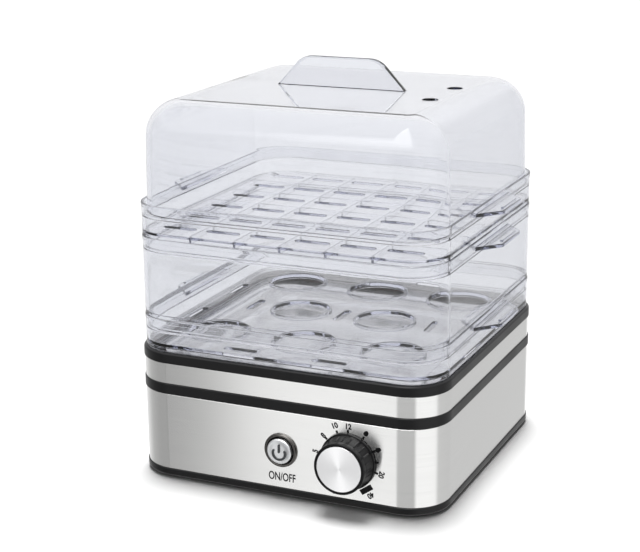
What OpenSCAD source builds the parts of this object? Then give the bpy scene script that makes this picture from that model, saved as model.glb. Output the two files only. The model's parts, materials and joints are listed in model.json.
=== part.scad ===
// Electric egg cooker: square steel base with a timer knob and a power button,
// and a clear stack on top of it: egg rack, spacer ring, steam tray and domed lid.
// Millimetres. +Z is up, the control panel faces -Y, and the feet stand on z = 0.
// The origin is the middle of the whole object's footprint.

/* [Base] */
// Width of the steel body
body_w = 175; // [170:1:185]
// Depth of the steel body
body_d = 171.6; // [168:1:182]
// Corner radius of the steel body, seen from above
corner_r = 22; // [20:1:26]
// Height of the rubber feet below the base pan
foot_h = 1.5; // [1:0.5:3]
// Height of the black band of the base pan
pan_band_h = 4; // [3.5:0.5:6]
// Height of the lower steel shell
shell_h = 42.8; // [42:0.2:48]
// Height of the black ring between the two steel shells
mid_ring_h = 5.9; // [5:0.1:8]
// Height of the upper steel band
upper_band_h = 11.3; // [11:0.1:14]
// Height of the black ring that the clear stack stands in
top_ring_h = 6; // [6:0.5:8]
// Thickness of the steel sheet
sheet_t = 0.8; // [0.6:0.1:1]
// How far the black rings stand out past the steel
ring_proud = 0.5; // [0.3:0.1:1]

/* [Clear stack] */
// Outside width of the rack, spacer and tray
stack_w = 173.4; // [172:0.2:175]
// Outside depth of the rack, spacer and tray
stack_d = 170; // [169:0.2:171.4]
// Corner radius of the rack, spacer and tray
stack_r = 21.3; // [20:0.1:24]
// Wall thickness of the clear plastic
wall_t = 1.6; // [1.4:0.1:2]
// Height of the egg rack's rim above the base's top ring
rack_rise = 17.7; // [17:0.1:24]
// Height of the spacer ring's rim above the rack's rim
spacer_rise = 43.6; // [35:0.1:60]
// Height of the steam tray's rim above the spacer's rim
tray_rise = 17.7; // [17:0.1:30]
// Reach of the finger tabs past the wall
tab_reach = 11; // [9:0.5:14]

/* [Egg rack] */
// Diameter of the holes that the eggs stand in
egg_hole_d = 32; // [28:1:34]
// Distance between neighbouring eggs of a row
egg_pitch = 51; // [48:1:52]

/* [Slots] */
// Length of a steam slot
slot_l = 19; // [14:1:21]
// Width of a steam slot
slot_w = 3.8; // [3:0.2:4]
// Steam slots along a row of the steam tray
slot_cols = 6; // [4:1:6]
// Rows of steam slots in the steam tray
slot_rows = 6; // [4:1:6]

/* [Lid] */
// Width of the lid at its lower edge
lid_w = 169.6; // [168:0.2:169.8]
// Depth of the lid at its lower edge
lid_d = 166.2; // [165:0.2:166.4]
// Corner radius of the lid, seen from above
lid_r = 23; // [22:0.5:26]
// Radius of the lid's rounded top edge
lid_edge_r = 19.5; // [12:0.5:20]
// Height of the lid's top above the steam tray's rim
lid_rise = 53.5; // [45:0.5:80]
// Height of the grip fin on the lid
fin_h = 16.5; // [14:0.5:22]
// Length of the grip fin where it meets the lid
fin_l = 74; // [60:1:90]
// Thickness of the grip fin
fin_t = 4; // [3:0.5:6]

/* [Controls] */
// Place of the knob's axis, right of the middle
knob_x = 39.8; // [38:0.2:46]
// Place of the button's axis, right of the middle
button_x = 1.6; // [-4:0.1:8]
// Height of both control axes above the table
control_z = 26.7; // [26:0.1:28]
// Diameter of the knob where it meets the panel
knob_d = 30.6; // [28:0.2:32]
// How far the knob stands out from the panel
knob_h = 12.6; // [11:0.2:16]
// Diameter of the button's bezel
bezel_d = 18.6; // [18:0.2:22]
// Travel of the button
button_travel = 2.5; // [1.5:0.5:2.5]

/* [Hidden] */
$fn = 96;
EPS = 0.05;
SLIDE_GAP = 0.3;
REST_GAP = 0.1;

// Levels above the table, from the bottom up
pan_top_z = foot_h + pan_band_h;
shell_top_z = pan_top_z + shell_h;
band_low_z = shell_top_z + mid_ring_h;
band_top_z = band_low_z + upper_band_h;
base_top_z = band_top_z + top_ring_h;
rack_rim_z = base_top_z + rack_rise;
spacer_rim_z = rack_rim_z + spacer_rise;
tray_rim_z = spacer_rim_z + tray_rise;
lid_top_z = tray_rim_z + lid_rise;

// The inlet bush stands out behind the body and the knob in front of it,
// so the body sits slightly behind the middle of the footprint.
inlet_out = 3;
body_y = (knob_h - inlet_out) / 2;
front_y = body_y - body_d / 2;
rear_y = body_y + body_d / 2;

// Rims of the clear pieces
nest_h = 6;
bead_h = 2.4;
bead_step = 0.25;
ledge_w = 1.9;
ledge_t = 1.4;
skirt_out = wall_t + SLIDE_GAP;
floor_t = 1.6;
rack_floor_z = base_top_z + 4;
tray_floor_z = spacer_rim_z + 3;
floor_w = stack_w - 2 * (wall_t + bead_step);
floor_d = stack_d - 2 * (wall_t + bead_step);
floor_r = stack_r - wall_t - bead_step;
collar_under = 2.6;
collar_t = 1.6;
egg_row_y = 51;
side_slot_y = 76;
side_slot_x = side_slot_y + 1.5;
middle_slot_x = 54;
tray_pitch_x = 25.6;
tray_pitch_y = 27;
rib_h = 2.8;
rib_t = 1.4;
tab_t = 2;
tab_under_rim = 4.6;
tab_root = 27;
tab_tip = 15;
tab_corner_r = 4;
tab_bar_in = 2.4;
tab_bar_w = 1.6;
tab_bar_h = 0.8;

// Base inside
pan_floor_t = 2.2;
pan_floor_z = foot_h + pan_floor_t;
lip_t = 1.5;
lip_gap = 0.05;
lip_out = -sheet_t - lip_gap;
post_x = body_w / 2 - 16.9;
post_y = body_d / 2 - 17.2;
post_r = 3.5;
post_bore_r = 1.7;
boss_top_z = pan_top_z + 3.5;
boss_r = 5;
screw_head_r = 3.4;
screw_recess_r = screw_head_r + 0.4;
screw_recess_h = 3;
screw_hole_r = post_bore_r + 0.2;
screw_l = 18;
foot_x = body_w / 2 - 31.5;
foot_y = body_d / 2 - 31.8;
foot_r = 8;
foot_seat_h = 1;
ledge_low_z = band_top_z - 2;
ledge_in = 15.2;
mid_web_w = 11;
mid_web_t = 2;
mid_lip_h = 4;
recess_in = 2.3;
flange_w = 6;

// Heating dish and what hangs under it
dish_w = body_w - 32;
dish_d = body_d - 32;
dish_r = 14;
dish_t = 0.8;
dish_flange = 8;
dish_floor_z = band_top_z - 9.5;
gasket_t = 1;
plate_r = 55;
plate_t = 2;
plate_low_z = dish_floor_z - plate_t;
thermostat_r = 8;
element_r = 3;
element_ring_r = 40;
element_z = plate_low_z - element_r;
element_angle = 310;
element_start = 25;
pin_under = 7;
shield_t = 0.6;
shield_top_z = shell_top_z - sheet_t;

// Timer, knob and button
timer_w = 38;
timer_tall = 34;
timer_deep = 26;
bracket_x = button_x - 16;
bracket_y = front_y + 9;
bracket_w = knob_x - button_x + 40;
bracket_t = 1.2;
bracket_screw_r = 1.5;
bracket_screw_x = [button_x - 10, button_x + 44];
bracket_screw_y = bracket_y + 5;
timer_front_y = bracket_y + bracket_t;
shaft_r = 3;
shaft_fit = 0.05;
shaft_back = 16;
shaft_inside = 12.6;
flat_low = 3;
bush_r = 5;
bush_pocket = 1.4;
panel_gap = 0.4;
face_d = knob_d - 6;
face_t = 0.8;
crown_t = 3;
knob_tip_d = knob_d - 3;
knob_ribs = 24;
pointer_angle = -103;
dial_r = knob_d / 2 + 0.9;
mark_t = 0.12;
cap_r = 6.9;
cap_proud = 2.9;
cap_in = 2.8;
bezel_proud = 1.5;
bezel_neck_r = bezel_d / 2 - 1.25;
stem_r = 2;
switch_y = front_y + 12.5 + button_travel;
switch_w = 14;
switch_deep = 13;
symbol_t = 0.15;
sign_r = 4.05;
sign_w = 1.15;
sign_drop = -0.95;

// Rear inlet
inlet_x = -48;
inlet_z = 18;
inlet_bore_r = 3.6;
inlet_neck_r = 6;
inlet_flange_r = 9;
terminal_y = rear_y - 34;
terminal_pitch = 9;

// Flat outline of a rounded rectangle, centred
module outline(w, d, r) {
    square([w - 2 * r, d], center = true);
    square([w, d - 2 * r], center = true);
    for (sx = [-1, 1], sy = [-1, 1]) {
        translate([sx * (w / 2 - r), sy * (d / 2 - r)]) circle(r);
    }
}

// Rounded rectangular slab between two levels
module slab(w, d, r, z0, z1) {
    translate([0, 0, z0]) linear_extrude(z1 - z0) outline(w, d, r);
}

// Carries a profile once round a rounded rectangle.
// In the profile, x is the distance outwards from the outline and y is the level.
module sweep(w, d, r) {
    for (k = [0 : 3]) {
        out = (k % 2 == 0 ? w : d) / 2;
        straight = (k % 2 == 0 ? d : w) - 2 * r;
        rotate([0, 0, 90 * k]) {
            translate([out, straight / 2, 0]) rotate([90, 0, 0]) linear_extrude(straight) children();
            translate([out - r, straight / 2, 0]) rotate_extrude(angle = 90) translate([r, 0]) children();
        }
    }
}

// Rectangle of a profile, from x0, z0 to x1, z1
module bar(x0, z0, x1, z1) {
    translate([x0, z0]) square([x1 - x0, z1 - z0]);
}

// Moves a piece from the body's own middle to its place over the footprint
module on_body() {
    translate([0, body_y, 0]) children();
}

// Lays a piece that is drawn upwards so that its +Z points out of the front panel
module on_panel(x, z) {
    translate([x, front_y, z]) rotate([90, 0, 0]) children();
}

// Repeats a piece at four places around the middle
module at_four(x, y) {
    for (sx = [-1, 1], sy = [-1, 1]) translate([sx * x, sy * y, 0]) children();
}

// Flat slot with round ends, along X
module slot_shape(l, w) {
    square([l - w, w], center = true);
    for (s = [-1, 1]) translate([s * (l - w) / 2, 0]) circle(w / 2);
}

// Flat tongue with two rounded corners: root and tip are half lengths along Y
module tongue(root, tip, reach, r) {
    slant = root - tip;
    edge = sqrt(reach * reach + slant * slant);
    nx = slant / edge;
    ny = reach / edge;
    cx = reach - r;
    cy = (nx * reach + ny * tip - r - nx * cx) / ny;
    back = 1;
    intersection() {
        union() {
            polygon([
                [-back, -root], [0, -root], [cx + r * nx, -cy - r * ny], [reach, -cy],
                [reach, cy], [cx + r * nx, cy + r * ny], [0, root], [-back, root]
            ]);
            for (s = [-1, 1]) translate([cx, s * cy]) circle(r);
        }
        translate([-back, -root]) square([reach + back, 2 * root]);
    }
}

// Pair of finger tabs under a rim, one on each side wall
module tabs(rim_z) {
    for (side = [0, 1]) {
        mirror([side, 0, 0]) translate([stack_w / 2 - bead_step, 0, rim_z - tab_under_rim]) {
            linear_extrude(tab_t) tongue(tab_root, tab_tip, tab_reach + bead_step, tab_corner_r);
            translate([tab_reach - tab_bar_in, 0, 0]) linear_extrude(tab_t + tab_bar_h)
                square([tab_bar_w, 2 * (tab_tip - tab_corner_r)], center = true);
        }
    }
}

// Rim, ledge and wall of a clear piece, down to the given level
module rim_profile(rim_z, wall_low_z) {
    bar(-wall_t, rim_z - bead_h - EPS, 0, rim_z);
    bar(-wall_t, rim_z - nest_h - ledge_t, -bead_step, rim_z - bead_h);
    bar(-wall_t - ledge_w, rim_z - nest_h - ledge_t, -wall_t + EPS, rim_z - nest_h);
    bar(-wall_t - bead_step, wall_low_z, -bead_step, rim_z - nest_h - ledge_t + EPS);
}

// Shoulder and skirt that drop into the rim of the piece below
module skirt_profile(low_rim_z) {
    bar(-skirt_out - wall_t, low_rim_z + SLIDE_GAP, -bead_step, low_rim_z + SLIDE_GAP + ledge_t);
    bar(-skirt_out - wall_t, low_rim_z - nest_h + REST_GAP, -skirt_out, low_rim_z + SLIDE_GAP + EPS);
}

module stack_sweep() {
    sweep(stack_w, stack_d, stack_r) children();
}

// ---- Base ----

module feet() {
    color("dimgray") on_body() at_four(foot_x, foot_y) cylinder(h = foot_h + foot_seat_h, r = foot_r);
}

module base_pan() {
    vent_pitch = 9;
    vent_l = 30;
    vent_w = 3;
    color([0.1, 0.1, 0.11]) on_body() difference() {
        union() {
            slab(body_w - 1, body_d - 1, corner_r - 0.5, foot_h, pan_floor_z);
            sweep(body_w, body_d, corner_r) {
                bar(lip_out - lip_t, foot_h, ring_proud, pan_top_z);
                bar(lip_out - lip_t, pan_top_z - EPS, lip_out, boss_top_z);
            }
            at_four(post_x, post_y) translate([0, 0, foot_h]) cylinder(h = boss_top_z - foot_h, r = boss_r);
        }
        at_four(post_x, post_y) {
            translate([0, 0, foot_h - 1]) cylinder(h = boss_top_z, r = screw_hole_r);
            translate([0, 0, foot_h - 1]) cylinder(h = 1 + screw_recess_h, r = screw_recess_r);
        }
        at_four(foot_x, foot_y) {
            translate([0, 0, foot_h - 1]) cylinder(h = 1 + foot_seat_h, r = foot_r + EPS);
        }
        for (i = [-3 : 3]) {
            translate([i * vent_pitch, 0, foot_h - 1]) linear_extrude(pan_floor_t + 2) rotate(90)
                slot_shape(vent_l, vent_w);
        }
    }
}

module base_screws() {
    head_low = foot_h + 0.6;
    head_h = 2.4;
    cross_l = 4.4;
    cross_w = 0.9;
    cross_top = foot_h + 1.9;
    color("silver") on_body() at_four(post_x, post_y) difference() {
        union() {
            translate([0, 0, head_low]) cylinder(h = head_h, r = screw_head_r);
            translate([0, 0, head_low + head_h - 0.1]) cylinder(h = screw_l, r = post_bore_r - EPS);
        }
        for (a = [0, 90]) rotate(a) {
            translate([-cross_l / 2, -cross_w / 2, foot_h]) cube([cross_l, cross_w, cross_top - foot_h]);
        }
    }
}

module body_shell() {
    cut = 10;
    color("lightgray") difference() {
        on_body() sweep(body_w, body_d, corner_r) {
            bar(-sheet_t, pan_top_z, 0, shell_top_z);
            bar(-flange_w, shell_top_z - sheet_t, -sheet_t + EPS, shell_top_z);
        }
        on_panel(knob_x, control_z) cylinder(h = cut, r = bush_r + 0.2, center = true);
        on_panel(button_x, control_z) cylinder(h = cut, r = bezel_neck_r + EPS, center = true);
        translate([inlet_x, rear_y, inlet_z]) rotate([-90, 0, 0])
            cylinder(h = cut, r = inlet_neck_r + EPS, center = true);
    }
}

module mid_ring() {
    color([0.1, 0.1, 0.11]) on_body() sweep(body_w, body_d, corner_r) {
        bar(-mid_web_w, shell_top_z, ring_proud, shell_top_z + mid_web_t);
        bar(lip_out - lip_t, shell_top_z, ring_proud, band_low_z);
        bar(lip_out - lip_t, band_low_z - EPS, lip_out, band_low_z + mid_lip_h);
    }
}

module upper_band() {
    color("lightgray") on_body() sweep(body_w, body_d, corner_r) bar(-sheet_t, band_low_z, 0, band_top_z);
}

module top_ring() {
    shoulder_h = 1;
    shoulder_w = 0.6;
    shoulder_z = base_top_z - shoulder_h;
    color([0.12, 0.12, 0.13]) on_body() difference() {
        union() {
            sweep(body_w, body_d, corner_r) {
                bar(-recess_in, band_top_z, ring_proud, shoulder_z);
                bar(-recess_in, shoulder_z - EPS, ring_proud - shoulder_w, base_top_z);
                bar(-ledge_in, ledge_low_z, lip_out, band_top_z);
            }
            at_four(post_x, post_y) {
                translate([0, 0, boss_top_z]) cylinder(h = ledge_low_z + 1 - boss_top_z, r = post_r);
            }
        }
        at_four(post_x, post_y) translate([0, 0, boss_top_z - 1]) cylinder(h = screw_l, r = post_bore_r);
    }
}

// ---- Heating ----

module dish_gasket() {
    gasket_in = 2.2;
    color("darkred") on_body() sweep(dish_w, dish_d, dish_r) {
        bar(gasket_in, band_top_z, dish_flange, band_top_z + gasket_t);
    }
}

module heating_dish() {
    flange_z = band_top_z + gasket_t;
    color("gainsboro") on_body() union() {
        sweep(dish_w, dish_d, dish_r) {
            bar(-dish_t, flange_z, dish_flange, flange_z + dish_t);
            bar(-dish_t, dish_floor_z, 0, flange_z + EPS);
        }
        slab(dish_w - 0.2, dish_d - 0.2, dish_r - 0.1, dish_floor_z, dish_floor_z + dish_t);
    }
}

module element_plate() {
    color("silver") on_body() difference() {
        translate([0, 0, plate_low_z]) cylinder(h = plate_t, r = plate_r);
        translate([0, 0, plate_low_z - 1]) cylinder(h = plate_t + 2, r = thermostat_r + 1);
    }
}

module heating_element() {
    pin_r = 1.5;
    color("darkgray") on_body() union() {
        translate([0, 0, element_z]) rotate(element_start) rotate_extrude(angle = element_angle)
            translate([element_ring_r, 0]) circle(element_r);
        for (a = [element_start, element_start + element_angle]) {
            rotate(a) translate([element_ring_r, 0, shield_top_z - pin_under])
                cylinder(h = element_z - shield_top_z + pin_under, r = pin_r);
        }
    }
}

module thermostat() {
    cap_h = 4;
    can_r = 6.5;
    can_low_z = shield_top_z + 0.3;
    tab = [6, 5, 0.8];
    tab_x = 8;
    color("ivory") on_body() union() {
        translate([0, 0, dish_floor_z - cap_h]) cylinder(h = cap_h, r = thermostat_r);
        translate([0, 0, can_low_z]) cylinder(h = dish_floor_z - cap_h - shield_top_z, r = can_r);
        for (s = [-1, 1]) {
            translate([s * tab_x - tab[0] / 2, -tab[1] / 2, shield_top_z + 1]) cube(tab);
        }
    }
}

module thermal_fuse() {
    fuse_y = 24;
    fuse_r = 2;
    fuse_l = 18;
    wire_l = 30;
    wire_r = 0.6;
    color("white") on_body() translate([0, fuse_y, plate_low_z - fuse_r]) rotate([0, 90, 0]) {
        cylinder(h = fuse_l, r = fuse_r, center = true);
        cylinder(h = wire_l, r = wire_r, center = true);
    }
}

module heat_shield() {
    edge_gap = 4;
    pin_hole_r = 3;
    color("silver") on_body() difference() {
        slab(body_w - 2 * edge_gap, body_d - 2 * edge_gap, corner_r - edge_gap,
            shield_top_z - shield_t, shield_top_z);
        at_four(post_x, post_y) {
            translate([0, 0, shield_top_z]) cylinder(h = 6, r = post_r + 0.6, center = true);
        }
        for (a = [element_start, element_start + element_angle]) {
            rotate(a) translate([element_ring_r, 0, shield_top_z])
                cylinder(h = 6, r = pin_hole_r, center = true);
        }
    }
}

// ---- Controls ----

module control_bracket() {
    bracket_tall = 38;
    foot_deep = 8;
    color("silver") difference() {
        translate([bracket_x, bracket_y, pan_floor_z]) {
            cube([bracket_w, bracket_t, bracket_tall]);
            cube([bracket_w, foot_deep, bracket_t]);
        }
        on_panel(knob_x, control_z) translate([0, 0, -20]) cylinder(h = 20, r = bush_r + 0.2);
        on_panel(button_x, control_z) translate([0, 0, -20]) cylinder(h = 20, r = stem_r + 4);
        for (x = bracket_screw_x) {
            translate([x, bracket_screw_y, foot_h]) cylinder(h = 6, r = bracket_screw_r + EPS);
        }
    }
}

module bracket_screws() {
    head_h = 1.8;
    head_r = 2.7;
    color("silver") for (x = bracket_screw_x) translate([x, bracket_screw_y, pan_floor_z]) {
        translate([0, 0, bracket_t]) cylinder(h = head_h, r = head_r);
        cylinder(h = bracket_t + EPS, r = bracket_screw_r);
    }
}

module timer_body() {
    bush_past_panel = 1.6;
    back_z = front_y - timer_front_y;
    color("beige") difference() {
        union() {
            translate([knob_x - timer_w / 2, timer_front_y, control_z - timer_tall / 2])
                cube([timer_w, timer_deep, timer_tall]);
            on_panel(knob_x, control_z) translate([0, 0, back_z - 1])
                cylinder(h = bush_past_panel + 1 - back_z, r = bush_r);
        }
        on_panel(knob_x, control_z) translate([0, 0, back_z - shaft_inside])
            cylinder(h = shaft_inside - back_z + 10, r = shaft_r + shaft_fit);
    }
}

module timer_nut() {
    nut_t = 2.6;
    nut_r = 8;
    bracket_front_z = front_y - bracket_y;
    color("gold") on_panel(knob_x, control_z) difference() {
        translate([0, 0, bracket_front_z + 0.1]) cylinder(h = nut_t, r = nut_r, $fn = 6);
        translate([0, 0, bracket_front_z - 1]) cylinder(h = nut_t + 3, r = bush_r + 0.02);
    }
}

// Flat of the timer's shaft, which drives the knob
module shaft_flat() {
    translate([-shaft_r - 1, shaft_r - 1, flat_low]) cube([2 * shaft_r + 2, 3, knob_h]);
}

module timer_shaft() {
    color("silver") on_panel(knob_x, control_z) difference() {
        translate([0, 0, -shaft_back]) cylinder(h = shaft_back + knob_h - crown_t, r = shaft_r);
        shaft_flat();
    }
}

module knob() {
    rib_out = 0.25;
    rib_in = 0.8;
    rib_w = 0.7;
    collar_low = knob_h - crown_t;
    pointer = [1.5, 1, 2.4];
    foot_r = knob_d / 2;
    tip_r = knob_tip_d / 2;
    color([0.12, 0.12, 0.13]) on_panel(knob_x, control_z) difference() {
        union() {
            rotate_extrude() polygon([
                [0, panel_gap], [foot_r, panel_gap], [foot_r, panel_gap + 1.6],
                [foot_r - 0.7, panel_gap + 2.2], [tip_r, collar_low], [tip_r, knob_h - 0.4],
                [tip_r - 0.4, knob_h], [0, knob_h]
            ]);
            for (i = [0 : knob_ribs - 1]) {
                rotate(i * 360 / knob_ribs) translate([tip_r - rib_in, -rib_w / 2, panel_gap + 2.4])
                    cube([rib_in + rib_out, rib_w, knob_h - panel_gap - 5]);
            }
            rotate(pointer_angle) translate([tip_r - 1, -pointer[1] / 2, collar_low]) cube(pointer);
        }
        translate([0, 0, knob_h - face_t]) cylinder(h = face_t + 1, r = face_d / 2);
        translate([0, 0, panel_gap - 1]) cylinder(h = bush_pocket + 1, r = bush_r + 1);
        difference() {
            translate([0, 0, panel_gap]) cylinder(h = collar_low - panel_gap, r = shaft_r);
            shaft_flat();
        }
    }
}

module knob_face() {
    color("silver") on_panel(knob_x, control_z) {
        translate([0, 0, knob_h - face_t]) cylinder(h = face_t, r = face_d / 2);
    }
}

// Ticks of the minutes ring, and the long block that marks its end
module dial_marks() {
    tick_angles = [172, 139.5, 112.7, 90.5, 59, 27.5, 6, -15.3];
    tick = [1.5, 1, mark_t];
    block_angle = -55;
    block = [3, 7.4, mark_t];
    color("black") on_panel(knob_x, control_z) {
        for (a = tick_angles) rotate(a) translate([dial_r - tick[0] / 2, -tick[1] / 2, 0]) cube(tick);
        rotate(block_angle) translate([dial_r - 0.3, -block[1] / 2, 0]) cube(block);
    }
}

module button_bezel() {
    in_r = cap_r + 0.25;
    out_r = bezel_d / 2;
    color([0.25, 0.24, 0.24]) on_panel(button_x, control_z) rotate_extrude() polygon([
        [in_r, -6], [bezel_neck_r, -6], [bezel_neck_r, 0], [out_r, 0], [out_r, bezel_proud - 0.9],
        [out_r - 0.8, bezel_proud], [cap_r + 0.7, bezel_proud], [in_r, bezel_proud - 0.6]
    ]);
}

module button_cap() {
    edge = 0.5;
    color("gainsboro") on_panel(button_x, control_z) union() {
        translate([0, 0, -cap_in]) cylinder(h = cap_proud + cap_in - edge, r = cap_r);
        translate([0, 0, cap_proud - edge - EPS]) cylinder(h = edge + EPS, r = cap_r - edge);
    }
}

// Inlaid power sign: an open ring with a bar at the top
module button_symbol() {
    bar_l = 4.75;
    color("dimgray") on_panel(button_x, control_z) translate([0, sign_drop, cap_proud]) {
        linear_extrude(symbol_t) {
            difference() {
                circle(sign_r);
                circle(sign_r - sign_w);
                translate([-sign_r, 1.6]) square([2 * sign_r, sign_r]);
            }
            translate([-sign_w / 2, 0.15]) square([sign_w, bar_l]);
        }
    }
}

module button_stem() {
    low = front_y - switch_y + 0.4;
    color("ivory") on_panel(button_x, control_z) {
        translate([0, 0, low]) cylinder(h = -cap_in - low, r = stem_r);
    }
}

module button_spring() {
    turns = 5;
    coil_r = 3.2;
    wire_r = 0.35;
    end_gap = wire_r + 0.2;
    low = front_y - switch_y + end_gap;
    high = -cap_in - end_gap;
    steps = 16 * turns;
    sides = 6;
    rings = [for (i = [0 : steps]) for (k = [0 : sides - 1])
        let (a = 360 * turns * i / steps, rr = coil_r + wire_r * cos(360 * k / sides))
        [rr * cos(a), rr * sin(a), low + (high - low) * i / steps + wire_r * sin(360 * k / sides)]];
    walls = [for (i = [0 : steps - 1]) for (k = [0 : sides - 1])
        let (a = i * sides, b = (i + 1) * sides, n = (k + 1) % sides) [a + k, b + k, b + n, a + n]];
    start_cap = [[for (k = [0 : sides - 1]) k]];
    end_cap = [[for (k = [sides - 1 : -1 : 0]) steps * sides + k]];
    color("silver") on_panel(button_x, control_z) polyhedron(rings, concat(walls, start_cap, end_cap));
}

module switch_body() {
    color("white") difference() {
        translate([button_x - switch_w / 2, switch_y, control_z - switch_w / 2])
            cube([switch_w, switch_deep, switch_w]);
        on_panel(button_x, control_z) translate([0, 0, front_y - switch_y - 4])
            cylinder(h = 6, r = stem_r + 0.4);
    }
}

module indicator_lamp() {
    lamp_l = 5;
    lamp_r = 1.5;
    rim_r = 1.9;
    color("orange") translate([button_x + 11, front_y + 3, control_z]) rotate([-90, 0, 0]) {
        cylinder(h = lamp_l, r = lamp_r);
        translate([0, 0, lamp_l - 0.1]) cylinder(h = 1, r = rim_r);
    }
}

module terminal_block() {
    block = [30, 14, 13];
    color("ivory") translate([inlet_x + 8, terminal_y, pan_floor_z]) difference() {
        cube(block);
        for (i = [0 : 2]) translate([6 + terminal_pitch * i, 0, 0]) {
            translate([0, -1, 5]) rotate([-90, 0, 0]) cylinder(h = block[1] + 2, r = 2);
            translate([0, block[1] / 2, 6]) cylinder(h = 8, r = 2.2);
        }
    }
}

module earth_screw() {
    stud_h = 6;
    stud_r = 2;
    nut_h = 2;
    nut_r = 3.8;
    color("gold") translate([inlet_x - 12, rear_y - 26, pan_floor_z]) {
        cylinder(h = stud_h, r = stud_r);
        translate([0, 0, stud_h - EPS]) cylinder(h = nut_h, r = nut_r, $fn = 6);
    }
}

module cord_inlet() {
    clamp_h = 4;
    clamp_r = inlet_neck_r + 1.6;
    color([0.15, 0.15, 0.16]) translate([inlet_x, rear_y, inlet_z]) rotate([-90, 0, 0]) difference() {
        union() {
            translate([0, 0, -sheet_t - clamp_h]) cylinder(h = clamp_h, r = clamp_r);
            translate([0, 0, -sheet_t - EPS]) cylinder(h = sheet_t + 2 * EPS, r = inlet_neck_r);
            cylinder(h = inlet_out, r = inlet_flange_r);
        }
        cylinder(h = 20, r = inlet_bore_r, center = true);
    }
}

// One insulated lead along a list of points
module lead(path, r) {
    for (i = [0 : len(path) - 2]) {
        step = path[i + 1] - path[i];
        run = norm(step);
        translate(path[i]) rotate([0, acos(step[2] / run), atan2(step[1], step[0])])
            cylinder(h = run, r = r, $fn = 24);
    }
    for (i = [1 : len(path) - 2]) translate(path[i]) sphere(r + 0.2, $fn = 24);
}

// Leads from the terminal block: one to the switch, one to the timer
module wiring() {
    lead_r = 1.2;
    lead_z = 9;
    start_x = inlet_x + 14;
    next_x = start_x + terminal_pitch;
    turn_y = switch_y + 20;
    color("firebrick") lead([
        [start_x, terminal_y, lead_z], [start_x, terminal_y - 8, lead_z], [start_x, turn_y, 12],
        [button_x, turn_y, control_z], [button_x, switch_y + switch_deep, control_z]
    ], lead_r);
    color("royalblue") lead([
        [next_x, terminal_y, lead_z], [next_x, terminal_y - 14, lead_z], [next_x, 10, lead_z],
        [knob_x, 0, 20], [knob_x, timer_front_y + timer_deep, 24]
    ], lead_r);
}

// ---- Clear stack ----

module egg_collar(x, y) {
    translate([x, y, rack_floor_z - collar_under])
        cylinder(h = collar_under + 1, r = egg_hole_d / 2 + collar_t);
}

// Wall, rims and tabs of the egg rack
module egg_rack() {
    color([0.85, 0.85, 0.9, 0.5]) on_body() union() {
        stack_sweep() {
            rim_profile(rack_rim_z, base_top_z + SLIDE_GAP + EPS);
            skirt_profile(base_top_z);
        }
        tabs(rack_rim_z);
    }
}

// Floor of the egg rack, moulded in one with its wall: holes for the eggs and slots for the steam
module egg_rack_floor() {
    eggs = [for (x = [-1, 0, 1], y = [-1, 1]) [x * egg_pitch, y * egg_row_y],
            for (x = [-0.5, 0.5]) [x * egg_pitch, 0]];
    slots = [for (x = [-1, 1], y = [-1, 1]) [x * egg_pitch / 2, y * side_slot_y, 0],
             for (x = [-1, 1], y = [-1, 1]) [x * side_slot_x, y * egg_pitch / 2, 90],
             for (x = [-1, 0, 1]) [x * middle_slot_x, 0, 90]];
    color([0.85, 0.85, 0.9, 0.5]) on_body() difference() {
        union() {
            slab(floor_w, floor_d, floor_r, rack_floor_z - floor_t, rack_floor_z);
            for (p = eggs) egg_collar(p[0], p[1]);
        }
        for (p = eggs) translate([p[0], p[1], rack_floor_z - 5]) cylinder(h = 10, r = egg_hole_d / 2);
        for (s = slots) {
            translate([s[0], s[1], rack_floor_z - 5]) linear_extrude(10) rotate(s[2])
                slot_shape(slot_l, slot_w);
        }
    }
}

module spacer_ring() {
    color([0.85, 0.85, 0.9, 0.5]) on_body() union() {
        stack_sweep() {
            rim_profile(spacer_rim_z, rack_rim_z + SLIDE_GAP + EPS);
            skirt_profile(rack_rim_z);
        }
        tabs(spacer_rim_z);
    }
}

// Ribs under the steam tray's floor, between its slots
module tray_ribs(first_x, first_y) {
    reach_x = floor_w / 2 - 4;
    reach_y = floor_d / 2 - 4;
    rib_z = tray_floor_z - floor_t - rib_h;
    for (i = [1 : slot_cols - 1]) {
        translate([first_x + (i - 0.5) * tray_pitch_x - rib_t / 2, -reach_y, rib_z])
            cube([rib_t, 2 * reach_y, rib_h + EPS]);
    }
    for (j = [1 : slot_rows - 1]) {
        translate([-reach_x, first_y + (j - 0.5) * tray_pitch_y - rib_t / 2, rib_z])
            cube([2 * reach_x, rib_t, rib_h + EPS]);
    }
}

module steam_tray() {
    first_x = -tray_pitch_x * (slot_cols - 1) / 2;
    first_y = -tray_pitch_y * (slot_rows - 1) / 2;
    color([0.85, 0.85, 0.9, 0.5]) on_body() union() {
        stack_sweep() {
            rim_profile(tray_rim_z, spacer_rim_z + SLIDE_GAP + EPS);
            skirt_profile(spacer_rim_z);
        }
        difference() {
            union() {
                slab(floor_w + wall_t, floor_d + wall_t, floor_r + wall_t / 2,
                    tray_floor_z - floor_t, tray_floor_z);
                tray_ribs(first_x, first_y);
            }
            for (i = [0 : slot_cols - 1], j = [0 : slot_rows - 1]) {
                translate([first_x + i * tray_pitch_x, first_y + j * tray_pitch_y, tray_floor_z - 5])
                    linear_extrude(10) slot_shape(slot_l, slot_w);
            }
        }
        tabs(tray_rim_z);
    }
}

// Upper quarter of a round edge whose middle is at -r, level
module round_edge(r, level) {
    intersection() {
        translate([-r, level]) circle(r);
        bar(-r, level, EPS, level + r + EPS);
    }
}

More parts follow.
